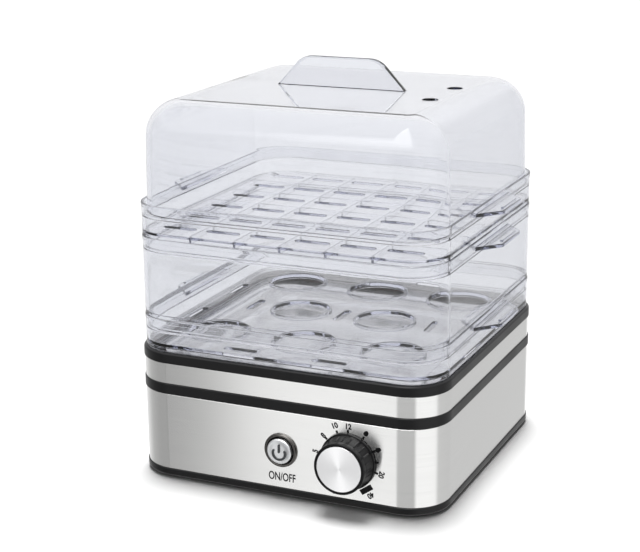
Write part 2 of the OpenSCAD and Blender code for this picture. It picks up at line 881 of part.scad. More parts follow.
module lid() {
    lid_t = 2;
    low_z = tray_rim_z - nest_h + REST_GAP;
    edge_z = lid_top_z - lid_edge_r;
    draft = 0.8;
    steam_hole_x = 58;
    steam_hole_y = 19;
    steam_hole_r = 3.9;
    fin_tip = fin_l / 2 - 14.5;
    fin_corner_r = 13;
    color([0.85, 0.85, 0.9, 0.45]) on_body() difference() {
        union() {
            sweep(lid_w - 2 * draft, lid_d - 2 * draft, lid_r - draft) {
                polygon([[draft, low_z], [0, edge_z], [-lid_t, edge_z], [draft - lid_t, low_z]]);
                difference() {
                    round_edge(lid_edge_r, edge_z);
                    translate([-lid_edge_r, edge_z]) circle(lid_edge_r - lid_t);
                }
            }
            slab(lid_w - 2 * draft - 2 * lid_edge_r, lid_d - 2 * draft - 2 * lid_edge_r,
                lid_r - draft - lid_edge_r, lid_top_z - lid_t, lid_top_z);
            translate([0, fin_t / 2, lid_top_z]) rotate([90, 0, 0]) linear_extrude(fin_t)
                rotate(90) tongue(fin_l / 2, fin_tip, fin_h, fin_corner_r);
        }
        for (s = [-1, 1]) {
            translate([steam_hole_x, s * steam_hole_y, lid_top_z])
                cylinder(h = 10, r = steam_hole_r, center = true);
        }
    }
}

feet();
base_pan();
base_screws();
body_shell();
mid_ring();
upper_band();
top_ring();
dish_gasket();
heating_dish();
element_plate();
heating_element();
thermostat();
thermal_fuse();
heat_shield();
control_bracket();
bracket_screws();
timer_body();
timer_nut();
timer_shaft();
knob();
knob_face();
dial_marks();
button_bezel();
button_cap();
button_symbol();
button_stem();
button_spring();
switch_body();
indicator_lamp();
terminal_block();
earth_screw();
cord_inlet();
wiring();
egg_rack();
egg_rack_floor();
spacer_ring();
steam_tray();
lid();
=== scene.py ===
"""Egg cooker: the looks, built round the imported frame.

Lengths are in millimetres unless a comment says otherwise, and MM turns them into metres. The
places of all pieces are worked out from the frame's own boxes.
"""
import json
from math import cos, dist, pi, radians, sin, tan
import bpy
import bmesh
from mathutils import Matrix, Vector


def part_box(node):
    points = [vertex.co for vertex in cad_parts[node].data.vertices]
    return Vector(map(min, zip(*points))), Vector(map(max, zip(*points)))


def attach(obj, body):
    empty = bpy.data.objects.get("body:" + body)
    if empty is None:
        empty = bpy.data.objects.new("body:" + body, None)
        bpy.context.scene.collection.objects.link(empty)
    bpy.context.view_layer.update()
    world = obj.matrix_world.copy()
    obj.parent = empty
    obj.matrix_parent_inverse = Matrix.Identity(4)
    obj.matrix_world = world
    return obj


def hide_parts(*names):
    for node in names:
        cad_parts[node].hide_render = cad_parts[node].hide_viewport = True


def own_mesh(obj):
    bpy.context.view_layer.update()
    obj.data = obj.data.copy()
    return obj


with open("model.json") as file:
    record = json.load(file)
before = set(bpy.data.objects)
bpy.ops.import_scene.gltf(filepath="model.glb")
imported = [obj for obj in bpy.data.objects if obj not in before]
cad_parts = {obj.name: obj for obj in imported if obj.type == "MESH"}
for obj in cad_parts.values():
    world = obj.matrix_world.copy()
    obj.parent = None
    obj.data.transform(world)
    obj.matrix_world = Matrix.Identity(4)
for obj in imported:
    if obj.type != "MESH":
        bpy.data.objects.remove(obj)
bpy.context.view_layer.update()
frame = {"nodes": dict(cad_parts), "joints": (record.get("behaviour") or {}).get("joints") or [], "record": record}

MM = 0.001
RECORD = frame["record"]
NODES = frame["nodes"]


# ---------------- sizes

def shift(x, y, z):
    """Move by millimetres."""
    return Matrix.Translation(Vector((x, y, z)) * MM)


def box_mm(node):
    """Lowest and highest corner of a CAD node, in millimetres."""
    low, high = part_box(node)
    return low / MM, high / MM


SHELL_LOW, SHELL_HIGH = box_mm("body_shell")
BAND_LOW, BAND_HIGH = box_mm("upper_band")
MID_HIGH = box_mm("mid_ring")[1]
TOP_LOW, TOP_HIGH = box_mm("top_ring")
PAN_LOW, PAN_HIGH = box_mm("base_pan")
RACK_HIGH = box_mm("egg_rack")[1]
SPACER_HIGH = box_mm("spacer_ring")[1]
TRAY_LOW, TRAY_HIGH = box_mm("steam_tray")
LID_LOW, LID_HIGH = box_mm("lid")
DISH_LOW, DISH_HIGH = box_mm("heating_dish")
KNOB_LOW = box_mm("knob")[0]
CAP_LOW, CAP_HIGH = box_mm("button_cap")
BEZEL_LOW, BEZEL_HIGH = box_mm("button_bezel")
INLET_LOW, INLET_HIGH = box_mm("cord_inlet")
FEET_LOW, FEET_HIGH = box_mm("feet")

# The steel body: outline, sheet, and the levels of its shells and black rings
BODY_W = SHELL_HIGH.x - SHELL_LOW.x
BODY_D = SHELL_HIGH.y - SHELL_LOW.y
BODY_Y = (SHELL_HIGH.y + SHELL_LOW.y) / 2
FRONT_Y = SHELL_LOW.y
REAR_Y = SHELL_HIGH.y
CORNER_R = 22.0
BODY_OUTLINE = (BODY_W, BODY_D, CORNER_R)
SHEET_T = 0.8
# A black ring stands proud of the steel, and its lip goes up just inside the sheet
RING_PROUD = (TOP_HIGH.x - TOP_LOW.x - BODY_W) / 2
RING_LIP = -SHEET_T - 0.05
RING_LIP_IN = RING_LIP - 1.5
PAN_TOP_Z = SHELL_LOW.z
SHELL_TOP_Z = SHELL_HIGH.z
BAND_LOW_Z = BAND_LOW.z
BAND_TOP_Z = BAND_HIGH.z
BASE_TOP_Z = TOP_HIGH.z

# The clear stack: outline, wall, the step under its rim, its ledge and skirt, and the finger tabs
STACK_D = TRAY_HIGH.y - TRAY_LOW.y
STACK_W = STACK_D + BODY_W - BODY_D
STACK_R = 21.3
WALL_T = 1.6
SLIDE_GAP = 0.3
NEST_H = 6.0
BEAD_H = 2.4
BEAD_STEP = 0.25
LEDGE_W = 1.9
LEDGE_T = 1.4
SKIRT_OUT = WALL_T + SLIDE_GAP
FLOOR_T = 1.6
TAB_REACH = (TRAY_HIGH.x - TRAY_LOW.x - STACK_W) / 2
TAB_ROOT = 27.0
TAB_TIP = 15.0
TAB_UNDER_RIM = 4.6
TAB_T = 2.0

# The lid: foot and wall, the fin on its flat top, and the steam holes
LID_W = LID_HIGH.x - LID_LOW.x
LID_D = LID_HIGH.y - LID_LOW.y
LID_R = 23.0
LID_T = 2.0
LID_EDGE_R = 19.5
LID_DRAFT = 0.8
FIN_H = 16.5
FIN_L = 74.0
FIN_T = 4.0
LID_TOP_Z = LID_HIGH.z - FIN_H
STEAM_HOLE_X = 58.0
STEAM_HOLE_Y = 19.0
STEAM_HOLE_R = 3.9

# Knob and button, in the middle of the panel's height
CONTROL_Z = (CAP_HIGH.z + CAP_LOW.z) / 2
BUTTON_X = (CAP_HIGH.x + CAP_LOW.x) / 2
KNOB_X = next(joint["pos_m"][0] for joint in frame["joints"] if joint["name"] == "knob_turn") / MM
KNOB_R = 15.3
KNOB_FRONT = FRONT_Y - KNOB_LOW.y
SHAFT_BORE_R = 3.05
TIMER_HOLE_R = 5.2
# Where the pointer stands at rest, in degrees anticlockwise from the right
POINTER_ANGLE = -103
BEZEL_R = (BEZEL_HIGH.x - BEZEL_LOW.x) / 2

# Inside the base: screw bosses and posts, and the feet and the lead's hole
POST_INSET = (16.9, 17.2)
POST_R = 3.5
POST_BORE_R = 1.7
BOSS_R = 5.0
BOSS_TOP_Z = PAN_TOP_Z + 3.5
SCREW_HOLE_R = 1.9
SCREW_RECESS_R = 3.8
SCREW_RECESS_Z = PAN_LOW.z + 3
INLET_X = (INLET_HIGH.x + INLET_LOW.x) / 2
INLET_Z = (INLET_HIGH.z + INLET_LOW.z) / 2
INLET_HOLE_R = 6.05
FOOT_R = 8

# Where turned pieces stand, with their own +Z out of the wall
OUT_OF_PANEL = Matrix.Rotation(radians(90), 4, "X")
OUT_OF_REAR = Matrix.Rotation(radians(-90), 4, "X")
KNOB_SEAT = shift(KNOB_X, FRONT_Y, CONTROL_Z) @ OUT_OF_PANEL
BUTTON_SEAT = shift(BUTTON_X, FRONT_Y, CONTROL_Z) @ OUT_OF_PANEL
INLET_SEAT = shift(INLET_X, REAR_Y, INLET_Z) @ OUT_OF_REAR


def new_object(name, data):
    piece = bpy.data.objects.new(name, data)
    bpy.context.scene.collection.objects.link(piece)
    return piece


# ---------------- camera

CAMERA_AZIMUTH = 24.35
CAMERA_ELEVATION = 16.07
CAMERA_ROLL = -0.60
CAMERA_DISTANCE = 886.0
CAMERA_LENS = 89.4
CAMERA_TARGET = (-11.5, BODY_Y - 5.2, 98.3)


def make_camera():
    a, e, roll = (radians(v) for v in (CAMERA_AZIMUTH, CAMERA_ELEVATION, CAMERA_ROLL))
    back = Vector((sin(a) * cos(e), -cos(a) * cos(e), sin(e)))
    right = Vector((cos(a), sin(a), 0))
    up = back.cross(right)
    right, up = (right * cos(roll) + up * sin(roll),
                 up * cos(roll) - right * sin(roll))
    place = Vector(CAMERA_TARGET) + back * CAMERA_DISTANCE
    data = bpy.data.cameras.new("camera")
    data.lens = CAMERA_LENS
    data.sensor_width = 36
    data.clip_start = 0.01
    data.clip_end = 50
    camera = new_object("camera", data)
    turn = Matrix((right, up, back)).transposed().to_4x4()
    camera.matrix_world = shift(*place) @ turn
    bpy.context.scene.camera = camera


make_camera()


# ---------------- mesh tools

# In metres: points closer than this on a turned piece's axis are one
WELD_DISTANCE = 1e-7
# In millimetres: how far a cutter stands past the face that it goes through
OVERCUT = 2
ROUND_END_STEPS = 8


def listed_mesh(name, verts, faces):
    """A mesh from lists of points, in metres, and faces."""
    mesh = bpy.data.meshes.new(name)
    mesh.from_pydata(verts, [], faces)
    mesh.update()
    return mesh


def take_mesh(name, bm):
    """The finished mesh of a bmesh."""
    mesh = bpy.data.meshes.new(name)
    bm.to_mesh(mesh)
    bm.free()
    return mesh


def smooth(piece, angle=32):
    """Smooth shading that keeps sharp edges, with flat faces kept flat."""
    piece.data.shade_smooth()
    piece.data.set_sharp_from_angle(angle=radians(angle))
    weighted = piece.modifiers.new("weighted_normals", "WEIGHTED_NORMAL")
    weighted.keep_sharp = True
    weighted.weight = 90


def finish_piece(piece, body, slot, *replaced):
    """Gives a piece its body, its slot with that material, and the CAD nodes that it stands for."""
    piece.data.materials.clear()
    piece.data.materials.append(MATERIALS[slot])
    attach(piece, body)
    if replaced:
        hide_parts(*replaced)
    return piece


def fillet(points, steps):
    """Rounds the corners of a closed outline. Each point is (x, z) or (x, z, radius)."""
    rounded = []
    count = len(points)
    for i, point in enumerate(points):
        radius = point[2] if len(point) > 2 else 0
        here = Vector(point[:2])
        if radius <= 0:
            rounded.append(tuple(here))
            continue
        to_last = (Vector(points[i - 1][:2]) - here).normalized()
        to_next = (Vector(points[(i + 1) % count][:2]) - here).normalized()
        half = to_last.angle(to_next) / 2
        centre = here + (to_last + to_next).normalized() * radius / sin(half)
        reach = radius / tan(half)
        start = here + to_last * reach - centre
        end = here + to_next * reach - centre
        sweep_angle = start.angle_signed(end)
        for k in range(steps + 1):
            turn = -sweep_angle * k / steps
            x = start.x * cos(turn) - start.y * sin(turn)
            z = start.x * sin(turn) + start.y * cos(turn)
            rounded.append((centre.x + x, centre.y + z))
    return rounded


def stations(w, d, r, steps):
    """Points round a rounded rectangle, with the outward direction at each."""
    points = []
    for k, (sx, sy) in enumerate(((1, 1), (-1, 1), (-1, -1), (1, -1))):
        cx, cy = sx * (w / 2 - r), sy * (d / 2 - r)
        for i in range(steps + 1):
            a = radians(90 * k + 90 * i / steps)
            points.append((cx + r * cos(a), cy + r * sin(a), cos(a), sin(a)))
    return points


def sweep_mesh(name, outline, profile, steps=14, closed=True):
    """Carries a profile once round a rounded rectangle of (width, depth, radius) on the body's middle.

    The profile runs anticlockwise, x outwards and z up. An open profile gets a flat face over each
    of its two ends. UVs are metres along the wall and up it.
    """
    path = stations(*outline, steps)
    rows, cols = len(path), len(profile)
    verts = [
        ((x + nx * p[0]) * MM, (BODY_Y + y + ny * p[0]) * MM, p[1] * MM)
        for x, y, nx, ny in path
        for p in profile
    ]
    along = [0.0]
    for i in range(rows):
        a, b = path[i], path[(i + 1) % rows]
        along.append(along[-1] + dist(a[:2], b[:2]) * MM)
    upward = [0.0]
    for j in range(cols):
        upward.append(upward[-1] + dist(profile[j], profile[(j + 1) % cols]) * MM)
    faces, uvs = [], []
    for i in range(rows):
        n = (i + 1) % rows
        for j in range(cols if closed else cols - 1):
            m = (j + 1) % cols
            faces.append((i * cols + j, n * cols + j, n * cols + m, i * cols + m))
            uvs += [(along[i], upward[j]), (along[i + 1], upward[j]),
                    (along[i + 1], upward[j + 1]), (along[i], upward[j + 1])]
    if not closed:
        faces.append([i * cols + cols - 1 for i in range(rows)])
        faces.append([i * cols for i in reversed(range(rows))])
        for row in (range(rows), reversed(range(rows))):
            uvs += [(path[i][0] * MM, path[i][1] * MM) for i in row]
    mesh = listed_mesh(name, verts, faces)
    layer = mesh.uv_layers.new(name="UVMap")
    for loop, uv in zip(layer.data, uvs):
        loop.uv = uv
    return mesh


def lathe_mesh(name, profile, steps, closed=False, ripple=None):
    """Turns a profile of (radius, height) about +Z. ripple(angle, radius, height) gives a new radius."""
    bm = bmesh.new()
    rings = []
    for i in range(steps):
        a = 2 * pi * i / steps
        ring = []
        for r, z in profile:
            reach = ripple(a, r, z) if ripple else r
            ring.append(bm.verts.new((reach * cos(a) * MM, reach * sin(a) * MM, z * MM)))
        rings.append(ring)
    count = len(profile)
    for i in range(steps):
        a, b = rings[i], rings[(i + 1) % steps]
        for j in range(count if closed else count - 1):
            m = (j + 1) % count
            bm.faces.new((a[j], b[j], b[m], a[m]))
    bmesh.ops.remove_doubles(bm, verts=bm.verts, dist=WELD_DISTANCE)
    bmesh.ops.recalc_face_normals(bm, faces=bm.faces)
    return take_mesh(name, bm)


def prism_mesh(name, rings):
    """Closed solid lofted through rings of points that have the same count."""
    count = len(rings[0])
    verts = [tuple(c * MM for c in p) for ring in rings for p in ring]
    faces = []
    for k in range(len(rings) - 1):
        for i in range(count):
            n = (i + 1) % count
            faces.append((k * count + i, k * count + n, (k + 1) * count + n, (k + 1) * count + i))
    faces.append(list(reversed(range(count))))
    faces.append([(len(rings) - 1) * count + i for i in range(count)])
    return listed_mesh(name, verts, faces)


def join_meshes(name, meshes):
    """One mesh from several, each kept as its own closed shell."""
    bm = bmesh.new()
    for mesh in meshes:
        bm.from_mesh(mesh)
    return take_mesh(name, bm)


def boolean(mesh, other, operation):
    """The exact boolean of two meshes."""
    a = new_object("boolean_a", mesh)
    b = new_object("boolean_b", other)
    tool = a.modifiers.new("boolean", "BOOLEAN")
    tool.object = b
    tool.operation = operation
    tool.solver = "EXACT"
    evaluated = a.evaluated_get(bpy.context.evaluated_depsgraph_get())
    result = bpy.data.meshes.new_from_object(evaluated)
    result.name = mesh.name
    for temporary in (a, b):
        bpy.data.objects.remove(temporary)
    return result


def level_mesh(name, shape, levels, centre, turn=0.0):
    """Closed solid through a flat shape at levels of (z, grow). shape(grow) gives (x, y) pairs."""
    c, s = cos(turn), sin(turn)
    return prism_mesh(name, [
        [(centre[0] + x * c - y * s, centre[1] + x * s + y * c, z) for x, y in shape(grow)]
        for z, grow in levels
    ])


def stadium(length, width):
    """Slot outline with round ends, as a function of how far it is grown."""
    def shape(grow):
        r = width / 2 + grow
        reach = (length - width) / 2
        points = []
        for side in (0, 1):
            for i in range(ROUND_END_STEPS + 1):
                a = radians(-90 + 180 * side + 180 * i / ROUND_END_STEPS)
                points.append(((reach if side == 0 else -reach) + r * cos(a), r * sin(a)))
        return points
    return shape


def disc(radius, steps=48):
    """Round outline, as a function of how far it is grown."""
    def shape(grow):
        turns = [2 * pi * i / steps for i in range(steps)]
        return [((radius + grow) * cos(a), (radius + grow) * sin(a)) for a in turns]
    return shape


def eased_levels(low, high, ease, part):
    """Levels of a slab whose two faces have eased rims, each with how far its outline is moved."""
    return ((low, ease), (low + part, part), (low + ease, 0),
            (high - ease, 0), (high - part, part), (high, ease))


def hole_cutter(shape, low, high, ease, centre, turn=0.0):
    """Cutter for a hole whose two rims are eased over."""
    levels = ((low - OVERCUT, ease), *eased_levels(low, high, ease, ease * 0.35), (high + OVERCUT, ease))
    return level_mesh("cutter", shape, levels, centre, turn)


def box_mesh(low, high, ease):
    """Box between two corners, with all its edges eased."""
    bm = bmesh.new()
    bmesh.ops.create_cube(bm, size=1)
    size = Vector(high) - Vector(low)
    middle = (Vector(high) + Vector(low)) / 2
    for v in bm.verts:
        v.co = Vector([v.co[i] * size[i] + middle[i] for i in range(3)]) * MM
    bmesh.ops.bevel(bm, geom=bm.edges[:], offset=ease * MM, segments=2, profile=0.7, affect="EDGES")
    return take_mesh("box", bm)


# ---------------- materials

# Noise cells per metre
SLOW_CELLS = (60, 60, 60)
SMUDGE_CELLS = (11, 11, 11)
WAVE_CELLS = (22, 22, 22)
SCUFF_CELLS = (150, 150, 900)
GRAIN_STRENGTH = 0.5
# Brushed steel: streaks per metre along and across the wall, depth in mm, shade and gloss
STREAKS_ALONG = 5.0
STREAKS_ACROSS = 7000.0
STREAK_DEPTH = 0.004
STREAK_DARK, STREAK_LIGHT = 0.955, 1.03
STREAK_GLOSS = 0.012
SMUDGE_GLOSS = (-0.02, 0.03)
# Spun aluminium: rings per metre of radius, depth in mm, shade
RINGS_PER_METRE = 6500
RING_DEPTH = 0.004
RING_DARK = 0.93
# Clear plastic: absorption per metre, so that edges look darker than walls
CLEAR_DENSITY = 90
CLEAR_IOR = 1.5
CLEAR_ROUGHNESS, SCUFF_ROUGHNESS = 0.015, 0.075
# The part of the scuff noise that shows, and how far side-on a face is when it takes the painted edge shade
SCUFF_SHARE = (0.62, 0.8)
EDGE_SHADE_FACING = (0.86, 1.0)
WAVE_DEPTH = 0.35
CAD_SHARP_ANGLE = 35


def node_material(name):
    material = bpy.data.materials.new(name)
    material.use_nodes = True
    shader = material.node_tree.nodes["Principled BSDF"]
    return material, material.node_tree, shader


def add_node(tree, kind):
    return tree.nodes.new("ShaderNode" + kind)


def link(tree, source, target):
    tree.links.new(source, target)


def set_inputs(node, **values):
    """Sets sockets by name, with _ for each space in the name."""
    for key, value in values.items():
        node.inputs[key.replace("_", " ")].default_value = value


def split_axes(tree, kind):
    where = add_node(tree, "TexCoord")
    split = add_node(tree, "SeparateXYZ")
    link(tree, where.outputs[kind], split.inputs["Vector"])
    return split.outputs


def noise(tree, cells, detail, kind="Object"):
    """Noise with a number of cells per metre along each axis."""
    texture = add_node(tree, "TexNoise")
    set_inputs(texture, Scale=1.0, Detail=detail)
    where = add_node(tree, "TexCoord")
    mapping = add_node(tree, "Mapping")
    set_inputs(mapping, Scale=cells)
    link(tree, where.outputs[kind], mapping.inputs["Vector"])
    link(tree, mapping.outputs["Vector"], texture.inputs["Vector"])
    return texture.outputs["Fac"]


def mapped(tree, source, low, high, from_low=0.3, from_high=0.7):
    remap = add_node(tree, "MapRange")
    set_inputs(remap, From_Min=from_low, From_Max=from_high, To_Min=low, To_Max=high)
    link(tree, source, remap.inputs["Value"])
    return remap.outputs["Result"]


def tint(tree, source, dark, light):
    mix = add_node(tree, "Mix")
    mix.data_type = "RGBA"
    set_inputs(mix, A=(*dark, 1), B=(*light, 1))
    link(tree, source, mix.inputs["Factor"])
    return mix.outputs["Result"]


def surface(tree, shader, colour, gloss, height, strength, depth):
    """Links a shader's colour and roughness, and a bump from a height, with its depth in mm."""
    bump = add_node(tree, "Bump")
    set_inputs(bump, Strength=strength, Distance=depth * MM)
    link(tree, height, bump.inputs["Height"])
    link(tree, bump.outputs["Normal"], shader.inputs["Normal"])
    link(tree, colour, shader.inputs["Base Color"])
    link(tree, gloss, shader.inputs["Roughness"])


def math_node(tree, operation, first, second):
    node = add_node(tree, "Math")
    node.operation = operation
    link(tree, first, node.inputs[0])
    link(tree, second, node.inputs[1])
    return node.outputs[0]


def follow_tangent(tree, shader, direction, amount):
    """Stretches the highlights across the tangent direction: UV_MAP, or RADIAL about the Z axis."""
    set_inputs(shader, Metallic=1.0, Anisotropic=amount, Anisotropic_Rotation=0.25)
    tangent = add_node(tree, "Tangent")
    tangent.direction_type = direction
    if direction == "RADIAL":
        tangent.axis = "Z"
    link(tree, tangent.outputs["Tangent"], shader.inputs["Tangent"])


def grained(name, colour, roughness, metallic, grain, grain_depth, spread, shade, specular):
    """Moulded, cast or painted surface with fine grain and slow colour and gloss variation."""
    material, tree, shader = node_material(name)
    set_inputs(shader, Metallic=metallic, Specular_IOR_Level=specular)
    slow = noise(tree, SLOW_CELLS, detail=4)
    fine = noise(tree, (grain, grain, grain), detail=2)
    dark = tuple(c * (1 - shade) for c in colour)
    light = tuple(min(1, c * (1 + shade)) for c in colour)
    gloss = mapped(tree, slow, roughness - spread / 2, roughness + spread / 2)
    surface(tree, shader, tint(tree, slow, dark, light), gloss, fine, GRAIN_STRENGTH, grain_depth)
    return material


def brushed(name, colour, roughness, anisotropic):
    """Sheet metal brushed along the wall: streaks long in U and fine in V."""
    material, tree, shader = node_material(name)
    follow_tangent(tree, shader, "UV_MAP", anisotropic)
    streak = noise(tree, (STREAKS_ALONG, STREAKS_ACROSS, 1), detail=4, kind="UV")
    broad = noise(tree, (STREAKS_ALONG * 0.35, STREAKS_ACROSS * 0.12, 1), detail=3, kind="UV")
    smudge = noise(tree, SMUDGE_CELLS, detail=4)
    dark = tuple(c * STREAK_DARK for c in colour)
    light = tuple(min(1, c * STREAK_LIGHT) for c in colour)
    tone = tint(tree, mapped(tree, streak, 0, 1), dark, light)
    gloss = mapped(tree, broad, roughness - STREAK_GLOSS, roughness + STREAK_GLOSS)
    gloss = math_node(tree, "ADD", gloss, mapped(tree, smudge, *SMUDGE_GLOSS))
    surface(tree, shader, tone, gloss, streak, 0.03, STREAK_DEPTH)
    return material


def clear_plastic(name, colour, edge_shade_colour, depth_colour):
    """Clear moulding: faint tint with painted shade that darkens its faces along its edges where they are seen
    side-on, slow waviness and a few fine scuffs.
    """
    material, tree, shader = node_material(name)
    inside = add_node(tree, "VolumeAbsorption")
    set_inputs(inside, Color=(*depth_colour, 1), Density=CLEAR_DENSITY)
    link(tree, inside.outputs["Volume"], tree.nodes["Material Output"].inputs["Volume"])
    # Painted shade: the colour darkens towards the edge colour where a face is seen side-on
    facing = add_node(tree, "LayerWeight")
    edge = mapped(tree, facing.outputs["Facing"], 0, 1, *EDGE_SHADE_FACING)
    set_inputs(shader, Transmission_Weight=1.0, IOR=CLEAR_IOR)
    wave = noise(tree, WAVE_CELLS, detail=1)
    scuff = noise(tree, SCUFF_CELLS, detail=6)
    gloss = mapped(tree, scuff, CLEAR_ROUGHNESS, SCUFF_ROUGHNESS, *SCUFF_SHARE)
    surface(tree, shader, tint(tree, edge, colour, edge_shade_colour), gloss, wave, 0.25, WAVE_DEPTH)
    return material


def spun(name, colour, roughness):
    """Turned disc: fine rings about the piece's own Z axis."""
    material, tree, shader = node_material(name)
    follow_tangent(tree, shader, "RADIAL", 0.95)
    axes = split_axes(tree, "Object")
    flat = add_node(tree, "CombineXYZ")
    link(tree, axes["X"], flat.inputs["X"])
    link(tree, axes["Y"], flat.inputs["Y"])
    length = add_node(tree, "VectorMath")
    length.operation = "LENGTH"
    link(tree, flat.outputs["Vector"], length.inputs[0])
    rings = add_node(tree, "TexNoise")
    rings.noise_dimensions = "1D"
    set_inputs(rings, Scale=RINGS_PER_METRE, Detail=2)
    link(tree, length.outputs["Value"], rings.inputs["W"])
    ring = rings.outputs["Fac"]
    dark = tuple(c * RING_DARK for c in colour)
    gloss = mapped(tree, ring, roughness - 0.04, roughness + 0.05)
    surface(tree, shader, tint(tree, ring, dark, colour), gloss, ring, 0.3, RING_DEPTH)
    return material


# Colour, roughness, metallic, grain per metre and its depth in mm, spread of roughness, spread of
# shade, specular level
GRAINED = {
    "steel_polished": ((0.80, 0.80, 0.80), 0.14, 1.0, 900, 0.006, 0.06, 0.04, 0.5),
    "steel_zinc": ((0.62, 0.63, 0.65), 0.38, 1.0, 1500, 0.010, 0.12, 0.08, 0.5),
    "plastic_black": ((0.006, 0.006, 0.007), 0.34, 0.0, 2600, 0.012, 0.10, 0.15, 0.3),
    "rubber_black": ((0.035, 0.035, 0.037), 0.72, 0.0, 1600, 0.030, 0.10, 0.20, 0.5),
    "seal_silicone": ((0.30, 0.05, 0.04), 0.60, 0.0, 1200, 0.020, 0.12, 0.20, 0.5),
    "aluminium_cast": ((0.70, 0.70, 0.71), 0.42, 1.0, 1300, 0.030, 0.12, 0.20, 0.5),
    "element_sheath": ((0.36, 0.34, 0.33), 0.45, 1.0, 1300, 0.020, 0.20, 0.25, 0.5),
    "ceramic_white": ((0.82, 0.80, 0.74), 0.55, 0.0, 1500, 0.020, 0.10, 0.05, 0.5),
    "plastic_natural": ((0.78, 0.75, 0.66), 0.42, 0.0, 1500, 0.020, 0.10, 0.06, 0.5),
    "brass": ((0.72, 0.52, 0.24), 0.30, 1.0, 1500, 0.010, 0.12, 0.10, 0.5),
    "knob_black": ((0.004, 0.004, 0.005), 0.30, 0.0, 3000, 0.006, 0.06, 0.12, 0.19),
    "print_black": ((0.010, 0.010, 0.011), 0.55, 0.0, 3000, 0.004, 0.10, 0.20, 0.15),
    "bezel_chrome": ((0.115, 0.11, 0.105), 0.10, 1.0, 1500, 0.003, 0.04, 0.06, 0.5),
    "cap_silver": ((0.92, 0.93, 0.945), 0.30, 0.9, 2500, 0.008, 0.06, 0.02, 0.5),
    "symbol_grey": ((0.06, 0.065, 0.07), 0.40, 0.0, 2500, 0.008, 0.06, 0.10, 0.5),
    "lamp_amber": ((0.85, 0.40, 0.08), 0.20, 0.0, 900, 0.005, 0.05, 0.05, 0.5),
    "lead_red": ((0.42, 0.05, 0.04), 0.50, 0.0, 1200, 0.020, 0.12, 0.20, 0.5),
}
MATERIALS = {slot: grained(slot, *row) for slot, row in GRAINED.items()}
MATERIALS["steel_brushed"] = brushed("steel_brushed", (0.86, 0.86, 0.85), 0.18, 1.0)
MATERIALS["aluminium_spun"] = spun("aluminium_spun", (0.97, 0.97, 0.98), 0.17)
# The second colour is painted edge shade, taken where a face of the clear plastic is seen side-on
MATERIALS["plastic_clear"] = clear_plastic(
    "plastic_clear", (0.955, 0.957, 0.965), (0.72, 0.73, 0.78), (0.80, 0.81, 0.87))
SLOT_OF = {entry["node"]: entry["material_slot"] for entry in RECORD["subparts"]}


def dress_cad_nodes():
    """Better materials for the CAD nodes whose own shape is kept."""
    for name, piece in NODES.items():
        material = MATERIALS[SLOT_OF[name]]
        for entry in piece.material_slots:
            entry.material = material
        piece.data.shade_smooth()
        piece.data.set_sharp_from_angle(angle=radians(CAD_SHARP_ANGLE))


def squash_spring():
    """The return spring shortens by the button's travel; here it only gets a mesh of its own."""
    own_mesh(NODES["button_spring"])


# ---------------- base

def swept_piece(name, node, slot, profile, steps=20, closed=True, extra=(), cuts=(),
                outline=BODY_OUTLINE):
    """A piece of the base, swept round an outline, with extra closed shells and with holes cut."""
    mesh = sweep_mesh(name, outline, profile, steps, closed)
    if extra:
        mesh = join_meshes(name, [mesh, *extra])
    for cutter in cuts:
        mesh = boolean(mesh, cutter, "DIFFERENCE")
    piece = new_object(name, mesh)
    smooth(piece)
    return finish_piece(piece, "base", slot, node)


def panel_cutter(x, z, radius):
    """Round cutter that goes straight through the front wall."""
    reach = 8
    mesh = lathe_mesh("cutter", [(0, -reach), (radius, -reach), (radius, reach), (0, reach)], 64)
    mesh.transform(shift(x, FRONT_Y, z) @ OUT_OF_PANEL)
    return mesh


def make_shells():
    """The lower shell with its folded top flange, and the upper band."""
    hem, flange = 0.25, 6
    lower = fillet([
        (-SHEET_T, PAN_TOP_Z, hem), (0, PAN_TOP_Z, hem), (0, SHELL_TOP_Z, 0.5),
        (-flange, SHELL_TOP_Z, hem), (-flange, SHELL_TOP_Z - SHEET_T, hem),
        (-SHEET_T, SHELL_TOP_Z - SHEET_T, 0.1)
    ], 3)
    inlet = panel_cutter(INLET_X, INLET_Z, INLET_HOLE_R)
    inlet.transform(shift(0, BODY_D, 0))
    holes = [panel_cutter(KNOB_X, CONTROL_Z, TIMER_HOLE_R),
             panel_cutter(BUTTON_X, CONTROL_Z, BEZEL_R - 1.2), inlet]
    swept_piece("shell_lower", "body_shell", "steel_brushed", lower, 24, cuts=holes)
    upper = fillet([
        (-SHEET_T, BAND_LOW_Z, hem), (0, BAND_LOW_Z, hem),
        (0, BAND_TOP_Z, hem), (-SHEET_T, BAND_TOP_Z, hem)
    ], 3)
    swept_piece("shell_upper", "upper_band", "steel_brushed", upper, 24)


def slab_mesh(w, d, r, z0, z1):
    """Flat rounded slab with eased edges."""
    ease = 0.4
    profile = fillet([(-r * 0.5, z0), (0, z0, ease), (0, z1, ease), (-r * 0.5, z1)], 3)
    return sweep_mesh("slab", (w, d, r), profile, 20, closed=False)


def post_places():
    """Where the screw bosses of the pan and the posts of the top ring meet."""
    x, y = BODY_W / 2 - POST_INSET[0], BODY_D / 2 - POST_INSET[1]
    return [(sx * x, BODY_Y + sy * y) for sx in (-1, 1) for sy in (-1, 1)]


def foot_places():
    """Middles of the four feet."""
    return [(x, y) for x in (FEET_LOW.x + FOOT_R, FEET_HIGH.x - FOOT_R)
            for y in (FEET_LOW.y + FOOT_R, FEET_HIGH.y - FOOT_R)]


